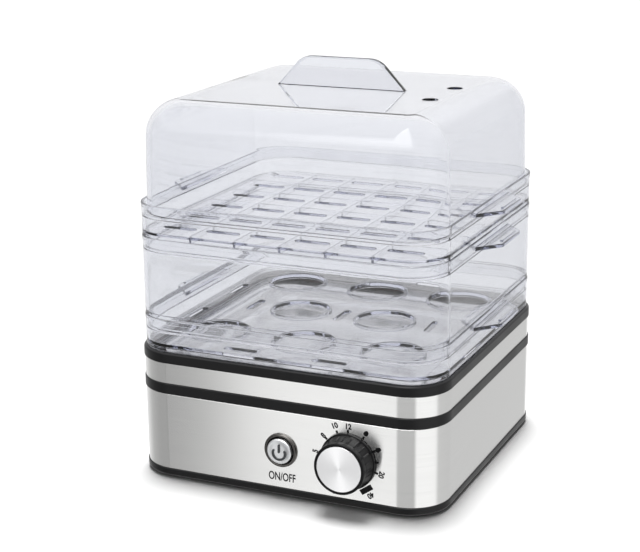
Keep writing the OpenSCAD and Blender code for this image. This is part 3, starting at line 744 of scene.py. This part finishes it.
def make_pan():
    """Bottom pan: a band round a floor with vents and foot seats, and a screw boss in each corner."""
    band = fillet([
        (RING_LIP_IN, PAN_LOW.z, 0.3), (RING_PROUD, PAN_LOW.z, 1.2), (RING_PROUD, PAN_TOP_Z, 0.5),
        (RING_LIP, PAN_TOP_Z, 0.1), (RING_LIP, PAN_HIGH.z, 0.3), (RING_LIP_IN, PAN_HIGH.z, 0.3)
    ], 5)
    floor_top_z = PAN_LOW.z + 2.2
    vent_pitch, boss_ease = 9, 0.4
    floor = slab_mesh(BODY_W - 1, BODY_D - 1, CORNER_R - 0.5, PAN_LOW.z, floor_top_z)
    vent = stadium(30, 3)
    cuts = [hole_cutter(vent, PAN_LOW.z, floor_top_z, 0.4, (i * vent_pitch, BODY_Y), pi / 2)
            for i in range(-3, 4)]
    for place in foot_places():
        cuts.append(level_mesh("cutter", disc(FOOT_R + 0.1), ((-1, 0), (PAN_LOW.z + 1, 0)), place))
    bosses = []
    for place in post_places():
        boss = ((PAN_LOW.z + 0.1, 0), (BOSS_TOP_Z - boss_ease, 0), (BOSS_TOP_Z, -boss_ease))
        recess = ((PAN_LOW.z - 1, 0.3), (PAN_LOW.z, 0.3), (PAN_LOW.z + 0.3, 0), (SCREW_RECESS_Z, 0))
        bosses.append(level_mesh("boss", disc(BOSS_R), boss, place))
        cuts.append(hole_cutter(disc(SCREW_HOLE_R), PAN_LOW.z + 1, BOSS_TOP_Z, 0.2, place))
        cuts.append(level_mesh("cutter", disc(SCREW_RECESS_R), recess, place))
    floor = boolean(floor, join_meshes("bosses", bosses), "UNION")
    for cutter in cuts:
        floor = boolean(floor, cutter, "DIFFERENCE")
    swept_piece("pan", "base_pan", "plastic_black", band, extra=[floor])


def make_middle_ring():
    """Black ring between the two shells, with a flange inside."""
    flange, flange_top_z = 11, SHELL_TOP_Z + 2
    profile = fillet([
        (-flange, SHELL_TOP_Z, 0.3), (RING_PROUD, SHELL_TOP_Z, 0.6), (RING_PROUD, BAND_LOW_Z, 0.6),
        (RING_LIP, BAND_LOW_Z, 0.1), (RING_LIP, MID_HIGH.z, 0.3), (RING_LIP_IN, MID_HIGH.z, 0.3),
        (RING_LIP_IN, flange_top_z, 0.2), (-flange, flange_top_z, 0.3)
    ], 5)
    swept_piece("ring_middle", "mid_ring", "plastic_black", profile)


def make_top_ring():
    """Black ring with a raised rim round the ledge that the clear stack stands on, and four posts."""
    ledge_z = BAND_TOP_Z - 2
    ledge_in, rim_in = -15.2, -2.3
    profile = fillet([
        (ledge_in, ledge_z, 0.3), (RING_LIP, ledge_z, 0.2), (RING_LIP, BAND_TOP_Z, 0.1),
        (RING_PROUD, BAND_TOP_Z, 0.5), (RING_PROUD, BASE_TOP_Z, 1.5), (rim_in, BASE_TOP_Z, 0.6),
        (rim_in, BAND_TOP_Z, 0.4), (ledge_in, BAND_TOP_Z, 0.3)
    ], 6)
    posts = []
    for x, y in post_places():
        post = lathe_mesh("post", fillet([
            (POST_BORE_R, BOSS_TOP_Z, 0.2), (POST_R, BOSS_TOP_Z, 0.3),
            (POST_R, ledge_z), (POST_BORE_R, ledge_z)
        ], 3), 32, True)
        post.transform(shift(x, y, 0))
        posts.append(post)
    swept_piece("ring_top", "top_ring", "plastic_black", profile, extra=posts)


def make_dish():
    """Pressed dish with a rolled flange and deep rounded corners."""
    t = SHEET_T
    inset, flange, middle = 16, 8, -12
    flange_z = DISH_HIGH.z - t
    floor_z = DISH_LOW.z
    profile = fillet([
        (middle, floor_z), (0, floor_z, 5.5), (0, flange_z, 1.2), (flange, flange_z, 0.3),
        (flange, DISH_HIGH.z, 0.3), (-t, DISH_HIGH.z, 2.0), (-t, floor_z + t, 4.8), (middle, floor_z + t)
    ], 7)
    outline = (BODY_W - 2 * inset, BODY_D - 2 * inset, 14)
    swept_piece("dish", "heating_dish", "steel_polished", profile, 16, closed=False, outline=outline)


def rounded_lathe(name, body, slot, profile, seat, node, steps=96, closed=True, ripple=None):
    """A turned piece that stands on its seat and takes the place of a CAD node."""
    piece = new_object(name, lathe_mesh(name, profile, steps, closed, ripple))
    smooth(piece)
    piece.matrix_world = seat
    return finish_piece(piece, body, slot, node)


def make_knob():
    """Flared skirt with shallow ribs, a plain collar at the front and a turned disc let into it."""
    gap, foot_h, collar_h, disc_t = 0.4, 2.3, 3.2, 0.8
    ribs, rib_h, rib_sharpness = 24, 0.28, 6
    tip, flare_r, face_r = KNOB_R - 1.5, KNOB_R - 0.75, KNOB_R - 3
    front = KNOB_FRONT
    waist_z, disc_z, recess_r = front - collar_h, front - disc_t, face_r + 0.02
    profile = fillet([(SHAFT_BORE_R, gap), (KNOB_R, gap, 0.3), (KNOB_R, gap + 1.7, 0.5)], 5)
    profile += [
        (flare_r - (flare_r - tip + 0.12) * t ** 0.7, gap + foot_h + (waist_z - gap - foot_h) * t)
        for t in (0, 0.08, 0.16, 0.3, 0.45, 0.6, 0.75, 0.86, 0.94, 1)
    ]
    profile += fillet([(tip, waist_z + 0.25, 0.1), (tip, front, 0.45), (recess_r, front, 0.12),
                       (recess_r, disc_z), (SHAFT_BORE_R, disc_z)], 5)

    def rib(angle, r, z):
        low, high = gap + foot_h, waist_z
        if r < tip - 0.3 or not low < z < high:
            return r
        fade = min(1.0, z - low, high - z)
        return r + rib_h * fade * max(0.0, cos(ribs * angle)) ** rib_sharpness

    rounded_lathe("knob_skirt", "knob", "knob_black", profile, KNOB_SEAT, "knob", 480, True, rib)
    face_z = front - 0.05
    face = fillet([(0, disc_z), (face_r, disc_z), (face_r, face_z, 0.2), (0, face_z)], 4)
    rounded_lathe("knob_disc", "knob", "aluminium_spun", face, KNOB_SEAT, "knob_face", 128, False)
    half_w, length = 0.45, 1.2
    pointer = box_mesh((-half_w, 0, front - 2.8), (half_w, length, front - 0.7), 0.2)
    piece = new_object("knob_pointer", pointer)
    smooth(piece)
    turn = Matrix.Rotation(radians(POINTER_ANGLE - 90), 4, "Z") @ shift(0, tip - 0.75, 0)
    piece.matrix_world = KNOB_SEAT @ turn
    finish_piece(piece, "knob", "knob_black")


def make_button():
    """Chrome ring round a shallow dished cap that has the power sign let into it."""
    cap_r = (CAP_HIGH.x - CAP_LOW.x) / 2
    bore_r, neck_r, neck_l = cap_r + 0.25, BEZEL_R - 1.25, 6
    proud = FRONT_Y - BEZEL_LOW.y
    bezel = fillet([
        (bore_r, -neck_l), (neck_r, -neck_l), (neck_r, 0), (BEZEL_R, 0, 0.1),
        (BEZEL_R, proud, 0.95), (cap_r + 1.15, proud, 0.3), (bore_r, proud - 1.1, 0.2)
    ], 8)
    rounded_lathe("bezel", "base", "bezel_chrome", bezel, BUTTON_SEAT, "button_bezel", 128)
    cap_z, cap_low_z, edge_r = FRONT_Y - CAP_LOW.y, -2.8, 0.7
    cap = [(0, cap_low_z), (cap_r, cap_low_z), (cap_r, cap_z - edge_r)]
    cap += [(cap_r - edge_r * (1 - cos(a)), cap_z - edge_r + edge_r * sin(a))
            for a in (radians(15 * k) for k in range(1, 6))]
    cap += [(cap_r - edge_r - 0.35 * k, cap_z - 0.012 * k * k) for k in range(0, 6)]
    cap += [(cap_r * 0.5, cap_z - 0.36), (0, cap_z - 0.38)]
    rounded_lathe("cap", "button", "cap_silver", cap, BUTTON_SEAT, "button_cap", 128, False)
    make_power_sign(cap_z)


def arc_band(r_mid, width, start, end, steps, z0, z1):
    """Flat open ring with round ends, as a closed solid."""
    half, cap_steps = width / 2, 6
    turns = [start + (end - start) * i / steps for i in range(steps + 1)]
    outer, inner = [[(r * cos(a), r * sin(a)) for a in turns]
                    for r in (r_mid + half, r_mid - half)]

    def round_end(at, reach):
        c, s = cos(at), sin(at)
        points = []
        for k in range(1, cap_steps):
            t = pi * k / cap_steps
            points.append((r_mid * c + reach * (cos(t) * c - sin(t) * s),
                           r_mid * s + reach * (cos(t) * s + sin(t) * c)))
        return points

    points = outer + round_end(end, half) + inner[::-1] + round_end(start, -half)
    return prism_mesh("band", [[(x, y, z) for x, y in points] for z in (z0, z1)])


def make_power_sign(cap_z):
    """Open ring and bar, sunk into the cap and a little proud of it."""
    line_w, sunk, proud = 1.15, 0.6, 0.13
    z0, z1 = cap_z - sunk, cap_z + proud
    ring = arc_band(3.48, line_w, radians(157), radians(383), 48, z0, z1)
    ring.transform(shift(0, -0.95, 0))
    bar = level_mesh("bar", stadium(4.75, line_w), ((z0, 0), (z1, 0)), (0, 1.58), pi / 2)
    piece = new_object("power_sign", join_meshes("power_sign", [ring, bar]))
    smooth(piece)
    piece.matrix_world = BUTTON_SEAT
    finish_piece(piece, "button", "symbol_grey", "button_symbol")


# ---------------- printed marks

PRINT_T = 0.06
# The font's size over the height of its capitals
SIZE_PER_HEIGHT = 1.38
DIGIT_H = 2.95
LABEL_H = 4.6
LABEL_DROP = 15.3
# Places on the dial: compass angles, anticlockwise from the right, and radii
TICK_R = 15.45
TICK_ANGLES = (172, 139.5, 112.7, 90.5, 59, 27.5, 6, -15.3)
END_BLOCK_ANGLE = -55
FIGURES = (("5", 172, 18.6), ("8", 139.5, 18.2), ("10", 112.5, 19.6),
           ("12", 90, 18.7), ("20", -14.5, 18.8), ("40", -54, 21.0))
EGG_SIGNS = ((59, 19.3), (27.5, 18.7))


def text_mesh(word, height, stretch, bold):
    """Flat lettering: stretch is its width over the font's, bold is how far its strokes grow."""
    curve = bpy.data.curves.new("text", "FONT")
    curve.body = word
    curve.align_x = "CENTER"
    curve.align_y = "CENTER"
    curve.size = height * SIZE_PER_HEIGHT * MM
    curve.extrude = PRINT_T * MM / 2
    curve.offset = bold * MM
    carrier = new_object("text", curve)
    mesh = bpy.data.meshes.new_from_object(carrier.evaluated_get(bpy.context.evaluated_depsgraph_get()))
    bpy.data.objects.remove(carrier)
    mesh.transform(Matrix.Diagonal((stretch, 1, 1, 1)))
    return mesh


def egg_shape(length, width):
    """Outline of an egg that points away from the knob."""
    steps, taper = 24, 0.16
    points = []
    for i in range(steps):
        a = 2 * pi * i / steps
        points.append((width / 2 * cos(a) * (1 - taper * sin(a)), length / 2 * sin(a)))
    return points


def on_dial(mesh, angle, radius):
    """Turns a flat mark so that its top points away from the knob, and puts it on the dial."""
    a = radians(angle)
    place = shift(radius * cos(a), radius * sin(a), PRINT_T / 2)
    mesh.transform(place @ Matrix.Rotation(a - pi / 2, 4, "Z"))
    return mesh


def flat_mark(points):
    """Thin solid of ink with the given outline."""
    return prism_mesh("mark", [[(x, y, z) for x, y in points] for z in (-PRINT_T / 2, PRINT_T / 2)])


def bar_mark(half_w, length):
    return flat_mark([(-half_w, 0), (half_w, 0), (half_w, length), (-half_w, length)])


def make_marks():
    """Ticks, figures and egg signs of the dial, and the switch label."""
    marks = [on_dial(bar_mark(0.6, 1.6), angle, TICK_R) for angle in TICK_ANGLES]
    marks.append(on_dial(bar_mark(3.7, 3), END_BLOCK_ANGLE, TICK_R + 0.45))
    marks += [on_dial(text_mesh(word, DIGIT_H, 0.9, 0.17), angle, radius)
              for word, angle, radius in FIGURES]
    marks += [on_dial(flat_mark(egg_shape(3.2, 2.6)), angle, radius) for angle, radius in EGG_SIGNS]
    piece = new_object("dial_print", join_meshes("dial_print", marks))
    piece.matrix_world = KNOB_SEAT
    finish_piece(piece, "base", "print_black", "dial_marks")
    label = new_object("switch_label", text_mesh("ON/OFF", LABEL_H, 0.68, 0.11))
    place = shift(BUTTON_X + 0.35, FRONT_Y - PRINT_T / 2, CONTROL_Z - LABEL_DROP)
    label.matrix_world = place @ OUT_OF_PANEL
    finish_piece(label, "base", "print_black")


def make_inlet_and_feet():
    """Rubber bush round the lead's hole at the back, and four rubber feet with a ring pressed in."""
    bore_r, groove_r, inner_r, outer_r, outer_t = 3.6, 6, 7.6, 9, 3
    bush = fillet([
        (bore_r, -4.8, 0.3), (inner_r, -4.8, 0.4), (inner_r, -SHEET_T, 0.3), (groove_r, -SHEET_T),
        (groove_r, 0.0), (outer_r, 0.0, 0.3), (outer_r, outer_t, 1.4), (bore_r, outer_t, 0.9)
    ], 5)
    rounded_lathe("inlet_bush", "base", "rubber_black", bush, INLET_SEAT, "cord_inlet")
    profile = fillet([
        (0, 0), (3, 0, 0.3), (3.6, 0.4, 0.3), (4.2, 0, 0.3), (FOOT_R, 0, 0.6),
        (FOOT_R, FEET_HIGH.z, 0.2), (0, FEET_HIGH.z)
    ], 4)
    feet = []
    for x, y in foot_places():
        foot = lathe_mesh("foot", profile, 48)
        foot.transform(shift(x, y, 0))
        feet.append(foot)
    piece = new_object("rubber_feet", join_meshes("rubber_feet", feet))
    smooth(piece)
    finish_piece(piece, "base", "rubber_black", "feet")


# ---------------- clear stack

def stack_wall(name, rim_z, low_rim_z):
    """Wall of a stacking piece: rim, ledge for the piece above, wall, shoulder and skirt."""
    step = -BEAD_STEP
    wall_in = -WALL_T - BEAD_STEP
    ledge_in = -WALL_T - LEDGE_W
    skirt_in = -SKIRT_OUT - WALL_T
    shoulder_z = low_rim_z + SLIDE_GAP
    skirt_low_z = low_rim_z - NEST_H + 0.1
    ledge_z = rim_z - NEST_H
    profile = fillet([
        (skirt_in, skirt_low_z, 0.4), (-SKIRT_OUT, skirt_low_z, 0.4), (-SKIRT_OUT, shoulder_z, 0.15),
        (step, shoulder_z, 0.35), (step, rim_z - BEAD_H, 0.2), (0, rim_z - BEAD_H, 0.12),
        (0, rim_z, 0.6), (-WALL_T, rim_z, 0.5), (-WALL_T, ledge_z, 0.2), (ledge_in, ledge_z, 0.35),
        (ledge_in, ledge_z - LEDGE_T, 0.35), (wall_in, ledge_z - LEDGE_T, 0.5),
        (wall_in, shoulder_z + LEDGE_T, 0.5), (skirt_in, shoulder_z + LEDGE_T, 0.4)
    ], 4)
    return sweep_mesh(name, (STACK_W, STACK_D, STACK_R), profile)


def tab_points(root, tip, reach, r, back):
    """Outline of a finger tab or of the grip fin: root and tip are half lengths, rounded at the tip."""
    outline = [(-back, -root), (0, -root), (reach, -tip, r), (reach, tip, r), (0, root), (-back, root)]
    return fillet(outline, 8)


def finger_tab(side, rim_z):
    """One finger tab with a raised bar near its outer edge."""
    outline = tab_points(TAB_ROOT, TAB_TIP, TAB_REACH, 4, 0.9)
    z0 = rim_z - TAB_UNDER_RIM
    x0 = STACK_W / 2

    def ring(z, shrink):
        points = []
        for x, y in outline:
            pull = shrink if x > 0 else 0
            sy = (abs(y) - pull) * (1 if y > 0 else -1)
            points.append(((x0 + x - pull) * side, BODY_Y + sy, z))
        return points if side > 0 else points[::-1]

    blade = prism_mesh("tab", [ring(z, s) for z, s in eased_levels(z0, z0 + TAB_T, 0.5, 0.15)])
    bar_x, bar_half, bar_end = x0 + TAB_REACH - 2.4, 0.8, 4
    left, right = sorted((side * (bar_x - bar_half), side * (bar_x + bar_half)))
    bar = box_mesh((left, BODY_Y - TAB_TIP + bar_end, z0 + TAB_T - 0.6),
                   (right, BODY_Y + TAB_TIP - bar_end, z0 + TAB_T + 0.8), 0.35)
    return boolean(blade, bar, "UNION")


def clear_piece(name, body, mesh, *nodes):
    piece = new_object(name, mesh)
    smooth(piece, 30)
    # The lamp shines straight through it
    piece.visible_shadow = False
    return finish_piece(piece, body, "plastic_clear", *nodes)


def with_tabs(mesh, rim_z):
    for side in (-1, 1):
        mesh = boolean(mesh, finger_tab(side, rim_z), "UNION")
    return mesh


def steam_slot(place, floor_z, turn=0.0):
    """Cutter for one steam slot of a floor."""
    return hole_cutter(stadium(19, 3.8), floor_z - FLOOR_T, floor_z, 0.45, place, turn)


def floor_slab(floor_z):
    """Plain floor that reaches into the wall all round."""
    inset = WALL_T + BEAD_STEP - 0.5
    r = STACK_R - inset
    profile = [(-r * 0.6, floor_z - FLOOR_T), (0, floor_z - FLOOR_T), (0, floor_z), (-r * 0.6, floor_z)]
    return sweep_mesh("floor", (STACK_W - 2 * inset, STACK_D - 2 * inset, r), profile, closed=False)


def make_egg_rack():
    """Rack with eight collared egg holes, and steam slots between them and at the sides."""
    rim_z, floor_z = RACK_HIGH.z, BASE_TOP_Z + 4
    pitch, side_y, hole_r, collar_r = 51.0, 76.0, 16.0, 17.6
    collar_low_z, collar_high_z = floor_z - 2.6, floor_z + 1.0
    eggs = [(x * pitch, BODY_Y + y * pitch) for x in (-1, 0, 1) for y in (-1, 1)]
    eggs += [(x * pitch, BODY_Y) for x in (-0.5, 0.5)]
    slots = [(x * pitch / 2, y * side_y, 0) for x in (-1, 1) for y in (-1, 1)]
    slots += [(x * (side_y + 1.5), y * pitch / 2, 90) for x in (-1, 1) for y in (-1, 1)]
    slots += [(x * (pitch + 3), 0, 90) for x in (-1, 0, 1)]
    mesh = boolean(stack_wall("rack", rim_z, BASE_TOP_Z), floor_slab(floor_z), "UNION")
    levels = ((collar_low_z, -0.5), (floor_z - 2.3, 0), (floor_z + 0.6, 0), (collar_high_z, -0.5))
    collars = [level_mesh("collar", disc(collar_r), levels, place) for place in eggs]
    mesh = boolean(mesh, join_meshes("collars", collars), "UNION")
    cutters = [hole_cutter(disc(hole_r), collar_low_z, collar_high_z, 0.6, place) for place in eggs]
    cutters += [steam_slot((x, BODY_Y + y), floor_z, radians(a)) for x, y, a in slots]
    mesh = boolean(mesh, join_meshes("cutters", cutters), "DIFFERENCE")
    clear_piece("rack_clear", "rack", with_tabs(mesh, rim_z), "egg_rack", "egg_rack_floor")


def make_spacer():
    """Open ring that makes room for standing eggs."""
    rim_z = SPACER_HIGH.z
    mesh = stack_wall("spacer", rim_z, RACK_HIGH.z)
    clear_piece("spacer_clear", "spacer", with_tabs(mesh, rim_z), "spacer_ring")


def make_steam_tray():
    """Tray with a grid of steam slots, and of ribs under its floor."""
    rim_z, floor_z = TRAY_HIGH.z, SPACER_HIGH.z + 3
    cols, rows, pitch_x, pitch_y = 6, 6, 25.6, 27.0
    rib_h, rib_t, rib_end, rib_ease = 2.8, 1.4, 5.6, 0.25
    # The cross ribs stand off the long ones' faces by this much, so that no two faces coincide
    apart = 0.02
    first_x, first_y = -pitch_x * (cols - 1) / 2, -pitch_y * (rows - 1) / 2
    half_w, half_d = STACK_W / 2 - rib_end, STACK_D / 2 - rib_end
    low_z, high_z = floor_z - FLOOR_T - rib_h, floor_z - FLOOR_T + 0.3
    mesh = boolean(stack_wall("tray", rim_z, SPACER_HIGH.z), floor_slab(floor_z), "UNION")
    long_ribs, cross_ribs = [], []
    for i in range(1, cols):
        x = first_x + (i - 0.5) * pitch_x
        long_ribs.append(box_mesh((x - rib_t / 2, BODY_Y - half_d, low_z),
                                  (x + rib_t / 2, BODY_Y + half_d, high_z), rib_ease))
    for j in range(1, rows):
        y = BODY_Y + first_y + (j - 0.5) * pitch_y
        cross_ribs.append(box_mesh((-half_w, y - rib_t / 2, low_z + apart),
                                   (half_w, y + rib_t / 2, high_z - apart), rib_ease))
    grid = boolean(join_meshes("ribs", long_ribs), join_meshes("ribs", cross_ribs), "UNION")
    mesh = boolean(mesh, grid, "UNION")
    cutters = [steam_slot((first_x + i * pitch_x, BODY_Y + first_y + j * pitch_y), floor_z)
               for i in range(cols) for j in range(rows)]
    mesh = boolean(mesh, join_meshes("cutters", cutters), "DIFFERENCE")
    clear_piece("tray_clear", "tray", with_tabs(mesh, rim_z), "steam_tray")


def make_lid():
    """Lid: tapered walls, a wide rounded edge round a flat top, a grip fin and two steam holes."""
    outline = (LID_W - 2 * LID_DRAFT, LID_D - 2 * LID_DRAFT, LID_R - LID_DRAFT)
    edge_z = LID_TOP_Z - LID_EDGE_R
    arcs = 14
    turns = [radians(90 * k / arcs) for k in range(arcs + 1)]
    outer, inner = [[(-LID_EDGE_R + r * cos(a), edge_z + r * sin(a)) for a in turns]
                    for r in (LID_EDGE_R, LID_EDGE_R - LID_T)]
    foot = [(-LID_T + LID_DRAFT, LID_LOW.z + 0.3), (-LID_T + LID_DRAFT + 0.3, LID_LOW.z),
            (LID_DRAFT - 0.5, LID_LOW.z), (LID_DRAFT - 0.15, LID_LOW.z + 0.15),
            (LID_DRAFT, LID_LOW.z + 0.5)]
    mesh = sweep_mesh("lid", outline, inner[::-1] + foot + outer, 20, closed=False)
    fin_outline = tab_points(FIN_L / 2, FIN_L / 2 - 14.5, FIN_H, 13, 1.0)

    def ring(y, shrink):
        points = []
        for up, side in fin_outline:
            pull = shrink if up > 0.5 else 0
            x = (abs(side) - pull) * (1 if side > 0 else -1)
            points.append((x, BODY_Y + y, LID_TOP_Z + up - pull))
        return points

    fin = prism_mesh("fin", [ring(y, s) for y, s in eased_levels(-FIN_T / 2, FIN_T / 2, 1.2, 0.35)])
    mesh = boolean(mesh, fin, "UNION")
    hole = disc(STEAM_HOLE_R, 32)
    cutters = [hole_cutter(hole, LID_TOP_Z - LID_T, LID_TOP_Z, 0.5, (STEAM_HOLE_X, BODY_Y + y))
               for y in (-STEAM_HOLE_Y, STEAM_HOLE_Y)]
    mesh = boolean(mesh, join_meshes("cutters", cutters), "DIFFERENCE")
    clear_piece("lid_clear", "lid", mesh, "lid")


# ---------------- stage and light

# In metres
FLOOR_HALF = 8


def make_stage():
    """Plain floor. Its colour tells a direct line of sight from one through the clear plastic."""
    material, tree, shader = node_material("floor_white")
    path = add_node(tree, "LightPath")
    colour = tint(tree, path.outputs["Is Camera Ray"], FLOOR_THROUGH, FLOOR_SEEN)
    link(tree, colour, shader.inputs["Base Color"])
    set_inputs(shader, Roughness=0.6, Specular_IOR_Level=0.1)
    corners = [(x * FLOOR_HALF, y * FLOOR_HALF, 0) for x, y in ((-1, -1), (1, -1), (1, 1), (-1, 1))]
    mesh = listed_mesh("floor", corners, [(0, 1, 2, 3)])
    mesh.materials.append(material)
    floor = new_object("stage_floor", mesh)
    floor.visible_glossy = False


# Brightness of the studio's walls by compass angle from +X, anticlockwise, in degrees
WALLS = ((-180, 0.50), (-150, 0.40), (-124, 0.40), (-118.3, 0.28), (-117.7, 1.30), (-115.5, 1.12),
         (-112, 1.03), (-108, 0.90), (-104, 0.56), (-60, 0.56), (-52, 1.08), (2, 1.08), (12, 0.66),
         (74, 0.62), (85, 1.0), (110, 0.95), (150, 0.82), (180, 0.50))
# Brightness of the ceiling in the same way: a large soft lamp hangs over the front
CEILING = ((-180, 1.4), (-124, 1.4), (-117, 5.0), (-62, 5.0), (-50, 1.4))
# The walls fade into the ceiling between these heights on a unit sphere
CEILING_FROM = (0.30, 0.62)
# The floor is white where it is seen directly, and a soft grey through the clear plastic
FLOOR_SEEN = (0.82, 0.82, 0.82)
FLOOR_THROUGH = (0.628, 0.636, 0.652)
# Share of the studio's light that falls on dull surfaces; the key lamp gives the rest
AMBIENT = 0.10
# The key lamp hangs nearly overhead, a little behind the object
KEY_PLACE = (-0.10, 0.19, 1.0)
KEY_WIDTH = 24  # degrees across
KEY_POWER = 4.0
# A line of sight crosses up to a dozen clear walls, with two faces each
CLEAR_BOUNCES = 28
GLOSSY_BOUNCES = 8


def level_ramp(tree, source, levels):
    """Grey levels by compass angle, as a colour ramp. The source runs from 0 to 1 once round."""
    ramp = add_node(tree, "ValToRGB")
    elements = ramp.color_ramp.elements
    elements.remove(elements[-1])
    for i, (angle, level) in enumerate(levels):
        share = (angle + 180) / 360
        element = elements[0] if i == 0 else elements.new(share)
        element.position = share
        element.color = (level, level, level, 1)
    link(tree, source, ramp.inputs["Fac"])
    return ramp.outputs["Color"]


def make_world():
    """Studio surround for what is lit or mirrored, and plain white behind what is looked at."""
    world = bpy.data.worlds.new("studio")
    bpy.context.scene.world = world
    world.use_nodes = True
    tree = world.node_tree
    tree.nodes.clear()
    axes = split_axes(tree, "Generated")
    azimuth = math_node(tree, "ARCTAN2", axes["Y"], axes["X"])
    turn = mapped(tree, azimuth, 0, 1, -pi, pi)
    dome = add_node(tree, "Mix")
    dome.data_type = "RGBA"
    link(tree, mapped(tree, axes["Z"], 0, 1, *CEILING_FROM), dome.inputs["Factor"])
    link(tree, level_ramp(tree, turn, WALLS), dome.inputs["A"])
    link(tree, level_ramp(tree, turn, CEILING), dome.inputs["B"])
    path = add_node(tree, "LightPath")
    surround = add_node(tree, "Background")
    link(tree, dome.outputs["Result"], surround.inputs["Color"])
    link(tree, mapped(tree, path.outputs["Is Glossy Ray"], AMBIENT, 1), surround.inputs["Strength"])
    white = add_node(tree, "Background")
    set_inputs(white, Color=(1, 1, 1, 1))
    seen = math_node(tree, "MAXIMUM", path.outputs["Is Camera Ray"], path.outputs["Is Transmission Ray"])
    mix = add_node(tree, "MixShader")
    link(tree, seen, mix.inputs["Fac"])
    link(tree, surround.outputs["Background"], mix.inputs[1])
    link(tree, white.outputs["Background"], mix.inputs[2])
    output = add_node(tree, "OutputWorld")
    link(tree, mix.outputs["Shader"], output.inputs["Surface"])


def make_light():
    """Wide, far key lamp, and the bounces that the clear pieces need."""
    data = bpy.data.lights.new("key", "SUN")
    data.angle = radians(KEY_WIDTH)
    data.energy = KEY_POWER
    light = new_object("key", data)
    light.location = KEY_PLACE
    light.rotation_euler = (-Vector(KEY_PLACE)).to_track_quat("-Z", "Y").to_euler()
    light.visible_glossy = False
    light.visible_transmission = False
    scene = bpy.context.scene
    scene.view_settings.view_transform = "Standard"
    scene.cycles.max_bounces = CLEAR_BOUNCES
    scene.cycles.transmission_bounces = CLEAR_BOUNCES
    scene.cycles.glossy_bounces = GLOSSY_BOUNCES


# ---------------- everything together

dress_cad_nodes()
squash_spring()
make_shells()
make_pan()
make_middle_ring()
make_top_ring()
make_dish()
make_knob()
make_button()
make_marks()
make_inlet_and_feet()
make_egg_rack()
make_spacer()
make_steam_tray()
make_lid()
make_stage()
make_world()
make_light()
